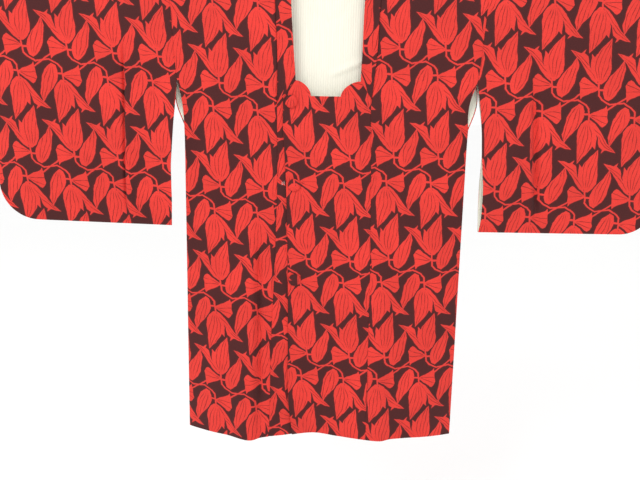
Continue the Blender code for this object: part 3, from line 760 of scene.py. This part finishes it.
def shell(name, rows, slot, nodes, lined=True, keep=None, turned=()):
    """A thin wall of cloth: an outer and an inner face, and a rim round every edge.

    In the columns that are turned in, the inner face shows the outer cloth too.
    """
    thickness = CLOTH if slot == "coat_cloth" else LINING
    cut = CUTS.get(name, Cut(0.0, 0.0))
    mesh = new_mesh()
    places = {}
    sides = []
    for half in (thickness / 2, -thickness / 2):
        side = []
        for row in rows:
            line = [mesh.verts.new(spot.point + spot.outward * half) for spot in row]
            places.update((vertex, print_place(cut, spot.flat)) for vertex, spot in zip(line, row))
            side.append(line)
        sides.append(side)
    rim = set()
    for i in range(len(rows) - 1):
        for j in range(len(rows[0]) - 1):
            if keep and not keep(i, j):
                continue
            ring = [(i, j), (i, j + 1), (i + 1, j + 1), (i + 1, j)]
            mesh.faces.new([sides[0][a][b] for a, b in ring])
            face = mesh.faces.new([sides[1][a][b] for a, b in reversed(ring)])
            face.material_index = 0 if j in turned else 1
            for start, end in zip(ring, ring[1:] + ring[:1]):
                if (end, start) in rim:
                    rim.remove((end, start))
                else:
                    rim.add((start, end))
    for (a, b), (c, d) in sorted(rim):
        mesh.faces.new([sides[0][c][d], sides[0][a][b], sides[1][a][b], sides[1][c][d]])
    bmesh.ops.delete(mesh, geom=[v for v in mesh.verts if not v.link_faces], context="VERTS")
    looks = [look(slot), look("lining_cloth" if lined else slot)]
    return finished(name, mesh, places, looks, SHARP, nodes)


# Body panels

def lift_left(across, below):
    """The left front rises off the body's surface to lie over the right one."""
    seam = read(LEVELS, "seam_left", below)
    return LAYER * ease(LIFT_FROM, LIFT_TO, below) * (1 - ease(seam, seam + LIFT_FADE, across))


def seam_dip(distances):
    """How the cloth dips at distances from seams."""
    return -SEAM_DIP * max((fall(distance, SEAM_DIP_REACH) for distance in distances), default=0.0)


def body_half(name, side):
    """Front and back of one half of the body, in one length over the shoulder."""
    seam_column = "seam_left" if side == LEFT else "seam_right"
    depths = arch_rows() + marked(HANG, BACK_NECK, SLIT_TOP, SLIT_BOTTOM, HEM - EDGE_STEPS[-1])
    neck = NECK_SEAM + JOIN
    inner = spread(neck)[:-len(EDGE_STEPS)]
    outer = [place / FRONT_WIDTH for place in spread(FRONT_WIDTH)]

    def seam_at(below):
        return abs(read(LEVELS, seam_column, below)) + JOIN

    def edge_at(face, below):
        return body_side(face, side, below) - JOIN

    def lift(face, across, below):
        distances = []
        if not SLIT_TOP < below < SLIT_BOTTOM:
            distances.append(edge_at(face, below) - abs(across))
        if face == FRONT:
            distances.append(abs(across) - seam_at(below))
        elif below > BACK_NECK:
            distances.append(abs(across))
        base = lift_left(across, below) if (face, side) == (FRONT, LEFT) else 0.0
        return base + seam_dip(distances)

    def layer(face):
        """Spots of a layer. The front's first columns lie on its seam, where the neck is open."""
        places = []
        for below in depths:
            start = seam_at(below) if face == FRONT else neck
            edge = edge_at(face, below)
            line = [mix(start, edge, share) for share in outer]
            line = ([line[0]] * len(inner) if face == FRONT else inner) + line
            places.append([(side * across, below) for across in line])
        level = [(across, hem(face, across)) for across, _ in places[-1]]
        for step in EDGE_STEPS[::-1]:
            places.append([(across, below - step) for across, below in level])
        return sheet(body_middle, face, places, partial(lift, face))

    back = layer(BACK)
    rows = back[::-1] + layer(FRONT)[1:]
    neck_row = len(back) - 1 - depths.index(BACK_NECK)

    def keep(i, j):
        return j >= len(inner) or i < neck_row

    last = len(rows[0]) - 1
    nodes = [name.replace("body", face) for face in ("front", "back")]
    piece = shell(name, rows, "coat_cloth", nodes, keep=keep, turned=range(last - TURNED_COLUMNS, last))
    width = LEVELS[0].side
    length = 2 * HEM + ROUND_ROD
    width * length - HEM * NECK_SEAM


# Front bands: the tate-eri panels

def lobe(across, corner, end):
    """Upper edge of the band along a lobe of the neck opening."""
    share = min(abs(across - corner) / abs(end - corner), 1.0)
    rise = (1 - share**LOBE_POWER) ** (1 / LOBE_POWER)
    return mix(NECK_BOTTOM, NECK_CORNER, rise)


def from_corner(across, corner, end, depth):
    """Straight upper edge of a band, from a corner of the neck to a depth at its end."""
    return mix(NECK_CORNER, depth, (across - corner) / (end - corner))


def band_top(across):
    """Upper edge of the band that lies on top, from its free corner to its mitre."""
    if across <= NECK_RIGHT:
        return from_corner(across, NECK_RIGHT, LEVELS[0].edge_top, FREE_CORNER)
    if across >= NECK_LEFT:
        seam = read(LEVELS, "seam_left", MITRE_LEFT_END)
        return from_corner(across, NECK_LEFT, seam, MITRE_LEFT_END) + JOIN
    if across < LOBE_RIGHT_END:
        return lobe(across, NECK_RIGHT, LOBE_RIGHT_END)
    if across > LOBE_LEFT_END:
        return lobe(across, NECK_LEFT, LOBE_LEFT_END)
    return NECK_BOTTOM


def band_under_top(across):
    """Upper edge of the band beneath: a mitre at its seam, then tucked below the other's edge."""
    if across <= NECK_RIGHT:
        seam = read(LEVELS, "seam_right", MITRE_UNDER_END)
        return from_corner(across, NECK_RIGHT, seam, MITRE_UNDER_END) + JOIN
    if across > NECK_LEFT:
        return from_corner(across, NECK_LEFT, LEVELS[0].edge_under, FREE_CORNER) + UNDER_TUCK
    return band_top(across) + UNDER_TUCK


def band_places(start, end):
    """Places across of a band's columns at its upper edge, dense where the lobes turn down."""
    lobes = [sin(pi / 2 * step / LOBE_STEPS) for step in range(LOBE_STEPS + 1)]
    places = [start + step for step in EDGE_STEPS]
    places += steps(places[-1], NECK_RIGHT)[1:]
    places += [mix(NECK_RIGHT, LOBE_RIGHT_END, share) for share in lobes]
    places += steps(LOBE_RIGHT_END, LOBE_LEFT_END)[1:]
    places += [mix(NECK_LEFT, LOBE_LEFT_END, share) for share in lobes[::-1]]
    places += steps(NECK_LEFT, end - EDGE_STEPS[-1])[1:]
    return places + [end - step for step in EDGE_STEPS[::-1]]


def band(name, on_top):
    """One front band, from the neck's lower edge to the hem."""
    top = band_top if on_top else band_under_top

    def ends(below):
        if on_top:
            return (read(LEVELS, "edge_top", below), read(LEVELS, "seam_left", below) - JOIN)
        return (read(LEVELS, "seam_right", below) + JOIN, read(LEVELS, "edge_under", below))

    mitre = MITRE_LEFT_END if on_top else MITRE_UNDER_END
    start, end = ends(mitre)
    columns = band_places(start, end)
    shares = [(at - start) / (end - start) for at in columns]

    def across_at(below):
        return [mix(*ends(below), share) for share in shares]

    places = [[(at, top(at) + step) for at in columns] for step in EDGE_STEPS]
    for part in steps(0.0, 1.0, BAND_STEP)[1:]:
        row = zip(across_at(mix(mitre, BAND_LEVEL, part)), columns)
        places.append([(across, mix(top(at) + EDGE_STEPS[-1], BAND_LEVEL, part)) for across, at in row])
    for below in steps(BAND_LEVEL, HEM - EDGE_STEPS[-1]):
        places.append([(across, below) for across in across_at(below)])
    tuck = 0.0 if on_top else HEM_TUCK
    for step in EDGE_STEPS[::-1]:
        places.append([(across, hem(FRONT, across) - tuck - step) for across in across_at(HEM)])

    def lift(across, below):
        near, far = ends(max(below, mitre))
        if not on_top:
            return seam_dip([across - near])
        uneven = sum((share * sin(beat * below + shift) for share, beat, shift in FREE_WAVES), 1.0)
        stand = FREE_LIFT * uneven * fall(across - near, FREE_LIFT_REACH)
        mitre_gap = below - band_top(across) if across > NECK_LEFT else 1.0
        return LAYER + stand + seam_dip([far - across, mitre_gap])

    piece = shell(name, sheet(body_middle, FRONT, places, lift), "coat_cloth", [name])
    width = columns[-1] - columns[0]
    BAND_FILL * width * (HEM - NECK_CORNER)


# The ko-eri: a strip round the neck, from mitre to mitre

def strip_leg(side):
    """Rows of a front leg, from its mitre up to the rod: points at the seam and the neck edge."""
    left = side == LEFT
    seam_column = "seam_left" if left else "seam_right"
    edge_column = "neck_left" if left else "neck_right"
    mitre = MITRE_LEFT_END if left else MITRE_UNDER_END

    def lift(across, below):
        return lift_left(0.0, below) if left else 0.0

    marks = [(mitre, NECK_CORNER), (SLIT_TOP, STRIP_CORNER)]
    marks += [(below, below) for below in (*NECK_ROWS[::-1], HANG)]
    depths = []
    for first, second in zip(marks, marks[1:]):
        for share in steps(0.0, 1.0, STEP / abs(first[0] - second[0])):
            depths.append((mix(first[0], second[0], share), mix(first[1], second[1], share)))
    depths.append(marks[-1])
    places = []
    for seam, edge in depths:
        seam_across = read(LEVELS, seam_column, seam) - side * JOIN
        places.append([(seam_across, seam), (read(LEVELS, edge_column, edge), edge)])
    return [tuple(spot.point for spot in row) for row in sheet(body_middle, FRONT, places, lift)]


def strip_turn(side):
    """Rows over the rod and round the back of the neck, to the centre back."""
    axis = Vector((0, 0, ROD_Z))
    rows = []
    for turn in NECK_TURN:
        angle = radians(turn.over)
        seam = Vector((side * turn.seam_across, -HANG * sin(angle), HANG * cos(angle) - turn.down))
        edge = Vector((side * turn.edge_across, turn.edge_back, turn.edge_up))
        rows.append((axis + seam, axis + edge))
    return rows


def smoothed(points):
    """A smooth line through points, with a few parts between each two."""
    line = []
    for i in range(len(points) - 1):
        leaving = (points[i + 1] - points[max(i - 1, 0)]) / 2
        arriving = (points[min(i + 2, len(points) - 1)] - points[i]) / 2
        for step in range(TURN_PARTS):
            line.append(curve(points[i], points[i + 1], leaving, arriving, step / TURN_PARTS))
    return line + [points[-1]]


def ko_eri(name):
    halves = []
    for side in (RIGHT, LEFT):
        leg = strip_leg(side)
        lines = [smoothed(points) for points in zip(leg[-1], *strip_turn(side))]
        halves.append((leg, list(zip(*lines))[1:]))
    edges = halves[0][0] + halves[0][1] + halves[1][1][-2::-1] + halves[1][0][::-1]
    count = len(edges)
    turn_from = len(halves[0][0])
    turn_to = count - len(halves[1][0])
    printed = 0.0
    rows = []
    for i, (seam, edge) in enumerate(edges):
        before = edges[max(i - 1, 0)]
        after = edges[min(i + 1, count - 1)]
        run = (after[0] - before[0]).normalized() + (after[1] - before[1]).normalized()
        normal = run.cross(edge - seam).normalized()
        part = (seam.lerp(edge, 0.5) - before[0].lerp(before[1], 0.5)).length
        printed += part * (NECK_PRINT if turn_from <= i <= turn_to else 1.0)
        row = []
        for share in STRIP_SHARES:
            swelling = STRIP_SWELL * sin(pi * share) ** STRIP_SWELL_POWER
            swelling -= SEAM_DIP * fall(share, STRIP_DIP_REACH)
            row.append(Spot(seam.lerp(edge, share) + normal * swelling, normal,
                            (-share * STRIP_WIDTH, printed)))
        rows.append(row)
    piece = shell(name, rows, "coat_cloth", [name], lined=False)


# Sleeves

def sleeve_depths(sleeve):
    """Depths of a sleeve's rows, down to its bottom seam."""
    rows = arch_rows() + marked(HANG, SLIT_TOP, CUFF, SLEEVE_BOTTOM - sleeve.corner)
    turns = even(0.0, pi / 2, CORNER_STEPS)
    return rows + [SLEEVE_BOTTOM - sleeve.corner * (1 - sin(turn)) for turn in turns]


def sleeve_cloth(sleeve):
    """Front and back layer of a sleeve, in one length over the shoulder."""
    start = sleeve_inner(sleeve, FRONT, SLEEVE_BOTTOM)
    steps_out = range(-FOLD_COLUMNS, FOLD_COLUMNS + 1)
    fold = [(sleeve.fold - start + FOLD_STEP * step) / (sleeve.outer - start) for step in steps_out]
    shares = [place / SLEEVE_WIDTH for place in spread(SLEEVE_WIDTH)]
    shares = sorted([share for share in shares if not fold[0] < share < fold[-1]] + fold)

    def lift(face, across, below):
        if below > SLIT_TOP:
            return 0.0
        return seam_dip([across - sleeve_inner(sleeve, face, below) - JOIN])

    layers = []
    for face in (FRONT, BACK):
        places = []
        for below in sleeve_depths(sleeve):
            inner = sleeve_inner(sleeve, face, below) + JOIN
            outer = sleeve_outer(sleeve, below)
            places.append([(mix(inner, outer, share), below) for share in shares])
        layers.append(sheet(partial(sleeve_middle, sleeve), face, places, partial(lift, face)))
    rows = layers[1][::-1] + layers[0][1:]
    piece = shell(sleeve.name, rows, "coat_cloth", [sleeve.name + "_front", sleeve.name + "_back"])
    sleeve.outer - ARMHOLE


# Linings that show

def lining(name, middle, edges, columns, creases=()):
    """A sheet on the inside of a back layer, given by its depths and its edges there."""
    places = [[(across, below) for across in even(*ends, columns)] for below, *ends in edges]

    def lift(across, below):
        return -LINING_IN - crease_at(creases, across, below)

    return shell(name, sheet(middle, BACK, places, lift), "lining_cloth", [name])


def lining_back(name):
    """One sheet on the inside of the back, short of the hem and the sides."""
    last = HEM - LINING_SHORT
    edges = []
    for below in [*marked(BACK_NECK, SLIT_TOP, SLIT_BOTTOM, last), last]:
        inset = LINING_SLIT_INSET if SLIT_TOP <= below < SLIT_BOTTOM else LINING_INSET
        start = inset - body_side(BACK, RIGHT, below)
        edges.append((below, start, body_side(BACK, LEFT, below) - inset))
    piece = lining(name, body_middle, edges, LINING_COLUMNS, LINING_CREASES)
    width = 2 * LEVELS[0].side
    LINING_FILL * width * (last - BACK_NECK)


def sleeve_lining(sleeve):
    """A sheet inside the sleeve's back layer, from under the rod to above the bottom seam."""
    last = SLEEVE_BOTTOM - SLEEVE_LINING_SHORT
    edges = []
    for below in [*steps(SLEEVE_LINING_TOP, last), last]:
        start = sleeve_inner(sleeve, BACK, below) + SLEEVE_LINING_INSET
        edges.append((below, start, sleeve_outer(sleeve, below) - SLEEVE_LINING_OUTER))
    piece = lining("lining_" + sleeve.name, partial(sleeve_middle, sleeve), edges, SLEEVE_LINING_COLUMNS)
    sleeve.outer - SLEEVE_LINING_OUTER - ARMHOLE


# Buttons covered in the cloth, and threads

def button(name, across, below, cut):
    """A domed button with the cloth drawn over it, seated on the band that lies on top."""
    spot = sheet(body_middle, FRONT, [[(across, below)]])[0][0]
    normal = spot.outward
    seat = spot.point + normal * (LAYER + CLOTH / 2 + BUTTON_SEAT)
    first = Vector((0, 0, 1)).cross(normal).normalized()
    second = normal.cross(first)
    mesh = new_mesh()
    places = {}
    rings = []
    for step in range(BUTTON_RINGS + 1):
        angle = mix(*BUTTON_TURN, step / BUTTON_RINGS) * pi
        wide = cos(angle) if angle > 0 else mix(1, cos(angle), BUTTON_DRAWN)
        rise = 1 - BUTTON_WIDEST if angle > 0 else BUTTON_WIDEST
        height = BUTTON_HEIGHT * (BUTTON_WIDEST + rise * sin(angle))
        ring = []
        for k in range(BUTTON_STEPS):
            turn = 2 * pi * k / BUTTON_STEPS
            pleat = 1 + PLEAT * sin(PLEATS * turn) * (1 - step / BUTTON_RINGS)
            radius = max(BUTTON_RADIUS * wide, BUTTON_TIP) * pleat
            offset = (first * cos(turn) + second * sin(turn)) * radius
            vertex = mesh.verts.new(seat + offset + normal * height)
            places[vertex] = print_place(cut, (offset.x, -offset.z))
            ring.append(vertex)
        rings.append(ring)
    for low, high in zip(rings, rings[1:]):
        for k in range(BUTTON_STEPS):
            after = (k + 1) % BUTTON_STEPS
            mesh.faces.new([low[k], low[after], high[after], high[k]])
    mesh.faces.new(rings[0][::-1])
    mesh.faces.new(rings[-1])
    finished(name + "_covered", mesh, places, [look("coat_cloth")], BUTTON_SHARP, [name])


def thread(name, start, end, layers):
    """A short stitch of thread that stands up from the cloth and goes in at both ends."""
    line = bpy.data.curves.new(name, "CURVE")
    line.dimensions = "3D"
    line.bevel_depth = THREAD_RADIUS
    line.bevel_resolution = 2
    spline = line.splines.new("POLY")
    spline.points.add(THREAD_POINTS - 1)
    shares = even(0.0, 1.0, THREAD_POINTS - 1)
    places = [(mix(start[0], end[0], share), mix(start[1], end[1], share)) for share in shares]
    spots = sheet(body_middle, FRONT, [places])[0]
    for point, spot, share in zip(spline.points, spots, shares):
        height = CLOTH / 2 + layers * LAYER + THREAD_STAND * sin(pi * share) - THREAD_RADIUS
        point.co = (*(spot.point + spot.outward * height), 1)
    line.materials.append(look("thread"))
    item = add_object(name, line)
    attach(item, "root")


# Shader nodes, whose outputs are reckoned with like numbers

class Field:
    """An output of a node, with its tree."""

    def __init__(self, tree, socket):
        self.tree = tree
        self.socket = socket

    def __add__(self, other):
        return math("ADD", self, other)

    def __sub__(self, other):
        return math("SUBTRACT", self, other)

    def __rsub__(self, other):
        return math("SUBTRACT", other, self)

    def __mul__(self, other):
        return math("MULTIPLY", self, other)

    def __truediv__(self, other):
        return math("DIVIDE", self, other)


def feed(socket, value):
    if isinstance(value, Field):
        value.tree.links.new(value.socket, socket)
    else:
        socket.default_value = value


def node(tree, kind, output, inputs, **settings):
    """Add a node with its settings, feed its inputs, and return one of its outputs."""
    made = tree.nodes.new("ShaderNode" + kind)
    for key, value in settings.items():
        setattr(made, key, value)
    for key, value in inputs.items():
        feed(made.inputs[key], value)
    return Field(tree, made.outputs[output])


def combine(kind, output, values, **settings):
    """Add a node that combines fields and numbers, in the order of its inputs."""
    tree = next(value.tree for value in values if isinstance(value, Field))
    return node(tree, kind, output, dict(enumerate(values)), **settings)


def math(operation, *values):
    return combine("Math", 0, values, operation=operation)


def vector(operation, *values):
    output = "Value" if operation == "DOT_PRODUCT" else "Vector"
    return combine("VectorMath", output, values, operation=operation)


def between(value, start, end):
    """0 at start and 1 at end, gently at both."""
    inputs = {"Value": value, "From Min": start, "From Max": end}
    return node(value.tree, "MapRange", "Result", inputs, interpolation_type="SMOOTHSTEP")


def blend(share, first, second, kind="MIX"):
    """Mix two colours."""
    tree = next(value.tree for value in (share, first, second) if isinstance(value, Field))
    first, second = ((*colour, 1.0) if isinstance(colour, tuple) else colour for colour in (first, second))
    return node(tree, "Mix", 2, {0: share, 6: first, 7: second}, data_type="RGBA", blend_type=kind)


def toned(colour, share, dark):
    """Multiply a colour by a tone that goes from a dark one to white."""
    return blend(1.0, colour, blend(share, dark, WHITE), "MULTIPLY")


def dimmed(colour, share):
    return tuple(share * value for value in colour)


def grain(place, scale, detail=2.0, output=0):
    """Noise of a given scale, from 0 to 1."""
    inputs = {"Vector": place, "Scale": scale, "Detail": detail}
    return node(place.tree, "TexNoise", output, inputs)


def drawn(value, points):
    """A value read off a drawn line of (along, height) points from 0 to 1."""
    result = node(value.tree, "FloatCurve", 0, {"Value": value})
    mapping = result.socket.node.mapping
    line = mapping.curves[0]
    while len(line.points) < len(points):
        line.points.new(0.5, 0.5)
    for point, place in zip(line.points, sorted(points)):
        point.location = place
        point.handle_type = "VECTOR"
    mapping.update()
    return result


# The print's chart as shader nodes

def square_axes(start, tip):
    """Directions along and aside of a line of the chart."""
    first = (tip - start).normalized()
    return (first, Vector((-first.y, first.x)))


def chart_axes(place, start, tip):
    """Distances along and aside of a line of the chart, in millimetres, on its lattice."""
    middle = ((start + tip) / 2).to_3d()
    half = Vector((REPEAT[0] / 2, REPEAT[1] / 2, 1.0))
    local = vector("WRAP", place, middle + half, middle - half)
    return [
        vector("DOT_PRODUCT", local, (axis.x, axis.y, 0)) - start.dot(axis)
        for axis in square_axes(start, tip)
    ]


def vein_nodes(place, shape, share, aside):
    """Whether a place is on a vein: bowed lines that part at the start and meet at the tip."""
    opening = 0.5 * (1 - 0.5 * shape.close)
    opened = share * (share * -shape.close + 1.0) * (1 / opening)
    wavy = grain(place, VEIN_WAVE, 0.0) * (2 * VEIN_WANDER) - VEIN_WANDER
    off = (aside + wavy) / opened - shape.bow
    gap = 2 * shape.spread / shape.veins
    beat = math("PINGPONG", off * (1 / gap) + (shape.veins + 1) / 2, 0.5)
    among = between(math("ABSOLUTE", off), shape.spread + VEIN_OUTER, shape.spread)
    return between(beat * opened * gap, *VEIN_EDGE) * among * between(share, *VEIN_START)


def shape_nodes(place, shape):
    """How far a place lies inside a shape, in millimetres, and whether it is on a vein."""
    start = Vector(shape.start)
    tip = Vector(shape.tip)
    length = (tip - start).length
    first, second = square_axes(start, tip)
    along, aside = chart_axes(place, start, tip)
    share = along / length
    sides = []
    for points, end in ((shape.low, OUTSIDE), (shape.high, -OUTSIDE)):
        line = [(0.0, end), (END_SHARE, 0.0)]
        for point in points:
            offset = Vector(point) - start
            line.append((offset.dot(first) / length, offset.dot(second)))
        line += [(1 - END_SHARE, 0.0), (1.0, end)]
        points = [(at, out / (2 * CHART_REACH) + 0.5) for at, out in line]
        sides.append(drawn(share, points) * (2 * CHART_REACH) - CHART_REACH)
    inside = math("MINIMUM", aside - sides[0], sides[1] - aside)
    if not shape.veins:
        return inside, 0.0
    return inside, vein_nodes(place, shape, share, aside) * between(inside, *VEIN_INSIDE)


def stroke_nodes(place, start, end, width):
    """How far a place lies inside a straight stroke, given by half its width, in millimetres."""
    start = Vector(start)
    end = Vector(end)
    half = (end - start).length / 2
    along, aside = chart_axes(place, start, end)
    over = math("MAXIMUM", math("ABSOLUTE", along - half) - half, 0.0)
    return width - math("SQRT", over * over + aside * aside)


@cache
def leaves():
    """Node group of one knot of leaves on its lattice: inside, in millimetres, and vein."""
    tree = bpy.data.node_groups.new("leaves", "ShaderNodeTree")
    for name, way, kind in (("Place", "INPUT", "Vector"), ("Inside", "OUTPUT", "Float"),
                            ("Vein", "OUTPUT", "Float")):
        tree.interface.new_socket(name, in_out=way, socket_type="NodeSocket" + kind)
    place = Field(tree, tree.nodes.new("NodeGroupInput").outputs["Place"])
    inside = NOWHERE
    vein = 0.0
    for shape in SHAPES:
        more_inside, more_vein = shape_nodes(place, shape)
        inside = math("MAXIMUM", more_inside, inside)
        vein = math("MAXIMUM", more_vein, vein)
    for stroke in STROKES:
        inside = math("MAXIMUM", stroke_nodes(place, *stroke), inside)
    result = tree.nodes.new("NodeGroupOutput")
    feed(result.inputs["Inside"], inside)
    feed(result.inputs["Vein"], vein)
    return tree


# Looks: the colour and the height of the relief at a place

def threads(place, pitch):
    """Height of a plain weave: warp and weft threads that cross."""
    warp, weft = (
        math("SINE", node(place.tree, "SeparateXYZ", axis, {0: place}) * (2 * pi / pitch)) for axis in (0, 1)
    )
    return warp * weft


def printed_crepe(place):
    """Silk crepe with the leaf print."""
    shift = vector("SUBTRACT", grain(place, ROUGH_WAVE, 3.0, "Color"), (0.5, 0.5, 0.5))
    uneven = vector("MULTIPLY_ADD", shift, (ROUGHNESS, ROUGHNESS, 0.0), place)
    turned = vector("SUBTRACT", (*OTHER_KNOT, 0.0), uneven)
    knots = [node(place.tree, "Group", "Inside", {0: here}, node_tree=leaves()) for here in (uneven, turned)]
    inside = math("MAXIMUM", *knots)
    vein = math("MAXIMUM", *(Field(place.tree, knot.socket.node.outputs["Vein"]) for knot in knots))
    # The veins are printed fainter in places
    faint = between(grain(place, 0.06), 0.34, 0.58)
    red = blend(vein * (faint * 0.65 + 0.35), RED, VEIN)
    red = blend(between(inside, *RIM_WIDTH) * 0.5, red, RIM)
    ground = blend(between(inside, *NEAR_WIDTH), GROUND_NEAR, GROUND)
    colour = blend(between(inside, -BLUR, BLUR), ground, red)
    # Clouds darken the cloth a little at random; the dips of the weave and the crepe are painted darker, as
    # painted shade in the cloth's hollows
    cloudy = between(grain(place, 0.012, 4.0), 0.25, 0.75)
    colour = toned(colour, cloudy, dimmed(WHITE, 0.86))
    weave = threads(place, WEAVE_PITCH)
    crepe = grain(place, 0.45, 3.0)
    fine = between(weave, -1.0, 1.0) * 0.3 + between(crepe, 0.34, 0.60)
    return toned(colour, fine, dimmed(WHITE, 0.84)), weave * 0.4 + crepe


def ribbed_silk(place):
    """Cream silk with fine ribs down its length, painted darker in the troughs between them as painted
    shade.
    """
    across = node(place.tree, "SeparateXYZ", 0, {0: place})
    rib = math("SINE", (across + grain(place, 0.02) * 3.0) * (2 * pi / RIB_PITCH))
    # The troughs between the ribs get the darker cream: painted shade in the grooves
    colour = blend(between(rib, -1.0, 1.0), dimmed(CREAM, 0.93), CREAM)
    streaks = grain(vector("MULTIPLY", place, (1.0, 0.04, 1.0)), 0.25)
    return toned(colour, streaks, (0.88, 0.88, 0.86)), rib + threads(place, LINING_WEAVE_PITCH) * 0.2


def twisted_thread(place):
    twist = grain(place, 2500.0)
    return blend(twist, dimmed(THREAD, 0.8), THREAD), twist


def varnished_wood(place):
    """Wood with its grain and pores along the rod."""
    rings = grain(vector("MULTIPLY", place, (12.0, 260.0, 260.0)), 1.0, 5.0)
    pores = grain(vector("MULTIPLY", place, (60.0, 1500.0, 1500.0)), 1.0, 3.0)
    return blend(between(pores, 0.62, 0.75), blend(between(rings, 0.3, 0.7), *WOOD), PORE), pores


def drawn_wire(place):
    """Bright steel with faint marks."""
    marks = grain(place, 900.0, 4.0)
    return blend(marks, *STEEL), marks


def pale_paper(place):
    return blend(grain(place, 0.6), dimmed(PAPER, 0.97), PAPER), 0.0


# Settings of each look, and the distance and strength of its relief
LOOKS = {
    "coat_cloth": (
        printed_crepe, {"Roughness": 0.78, "Specular IOR Level": 0.22, "Sheen Weight": 0.05}, (0.00012, 0.5),
    ),
    "lining_cloth": (
        ribbed_silk, {"Roughness": 0.5, "Specular IOR Level": 0.35, "Sheen Weight": 0.05}, (0.0002, 0.6),
    ),
    "thread": (twisted_thread, {"Roughness": 0.6, "Specular IOR Level": 0.3}, (0.0001, 0.5)),
    "hanger_wood": (
        varnished_wood, {"Roughness": 0.38, "Coat Weight": 0.25, "Coat Roughness": 0.25}, (0.0002, 0.4),
    ),
    "hook_steel": (drawn_wire, {"Roughness": 0.28, "Metallic": 1.0}, (0.00005, 0.4)),
    "floor": (pale_paper, {"Roughness": 0.9, "Specular IOR Level": 0.1}, None),
}


@cache
def look(name):
    """A material, laid out on the flat cloth in millimetres, or in the object's own metres."""
    paint, settings, relief = LOOKS[name]
    material = bpy.data.materials.new(name)
    material.use_nodes = True
    tree = material.node_tree
    shader = tree.nodes["Principled BSDF"]
    for key, value in settings.items():
        shader.inputs[key].default_value = value
    if name.endswith("_cloth"):
        place = vector("MULTIPLY", node(tree, "UVMap", 0, {}, uv_map="cloth"), (1000.0, 1000.0, 0.0))
    else:
        place = node(tree, "TexCoord", "Object", {})
    colour, height = paint(place)
    feed(shader.inputs["Base Color"], colour)
    if relief:
        inputs = {"Distance": relief[0], "Strength": relief[1], "Height": height}
        feed(shader.inputs["Normal"], node(tree, "Bump", 0, inputs))
    return material


# Stage, light and camera

def add_floor():
    """A wide floor, as pale as the light around it."""
    ends = ((-1, -1), (1, -1), (1, 1), (-1, 1))
    corners = [(x * FLOOR_REACH, y * FLOOR_REACH, SHOULDER_Z - FLOOR_BELOW) for x, y in ends]
    data = bpy.data.meshes.new("floor")
    data.from_pydata(corners, [], [(0, 1, 2, 3)])
    data.materials.append(look("floor"))
    add_object("floor", data)


def add_lamp(name, place, width, power):
    lamp = bpy.data.lights.new(name, "AREA")
    lamp.size = width
    lamp.energy = power
    item = add_object(name, lamp)
    item.location = place
    item.rotation_euler = (LAMP_AIM - Vector(place)).to_track_quat("-Z", "Y").to_euler()


def add_world():
    world = bpy.data.worlds.new("world")
    world.use_nodes = True
    background = world.node_tree.nodes["Background"]
    background.inputs["Color"].default_value = (*WHITE, 1.0)
    background.inputs["Strength"].default_value = WORLD_LIGHT
    bpy.context.scene.world = world


def add_camera():
    data = bpy.data.cameras.new("camera")
    data.lens = CAMERA_LENS
    data.sensor_width = CAMERA_SENSOR
    data.clip_start, data.clip_end = CAMERA_CLIP
    item = add_object("camera", data)
    turn = Matrix.Rotation(pi / 2 - CAMERA_TILT, 4, "X") @ Matrix.Rotation(CAMERA_ROLL, 4, "Z")
    back = Vector((0, -cos(CAMERA_TILT), sin(CAMERA_TILT))) * CAMERA_DISTANCE
    item.matrix_world = Matrix.Translation(CAMERA_AIM + back) @ turn
    bpy.context.scene.camera = item


def build():
    body_half("body_right", RIGHT)
    body_half("body_left", LEFT)
    band("tate_eri_right", False)
    band("tate_eri_left", True)
    ko_eri("ko_eri")
    for sleeve in SLEEVES:
        sleeve_cloth(sleeve)
        sleeve_lining(sleeve)
    lining_back("lining_back")
    for row in BUTTONS:
        button(*row)
    for tack in TACKS:
        thread(*tack)
    for name, slot in (("hanger_rod", "hanger_wood"), ("hanger_hook", "hook_steel")):
        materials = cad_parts[name].data.materials
        for i in range(len(materials)):
            materials[i] = look(slot)
    add_floor()
    for lamp in LAMPS:
        add_lamp(*lamp)
    add_world()
    add_camera()
    bpy.context.scene.view_settings.view_transform = "Standard"


build()
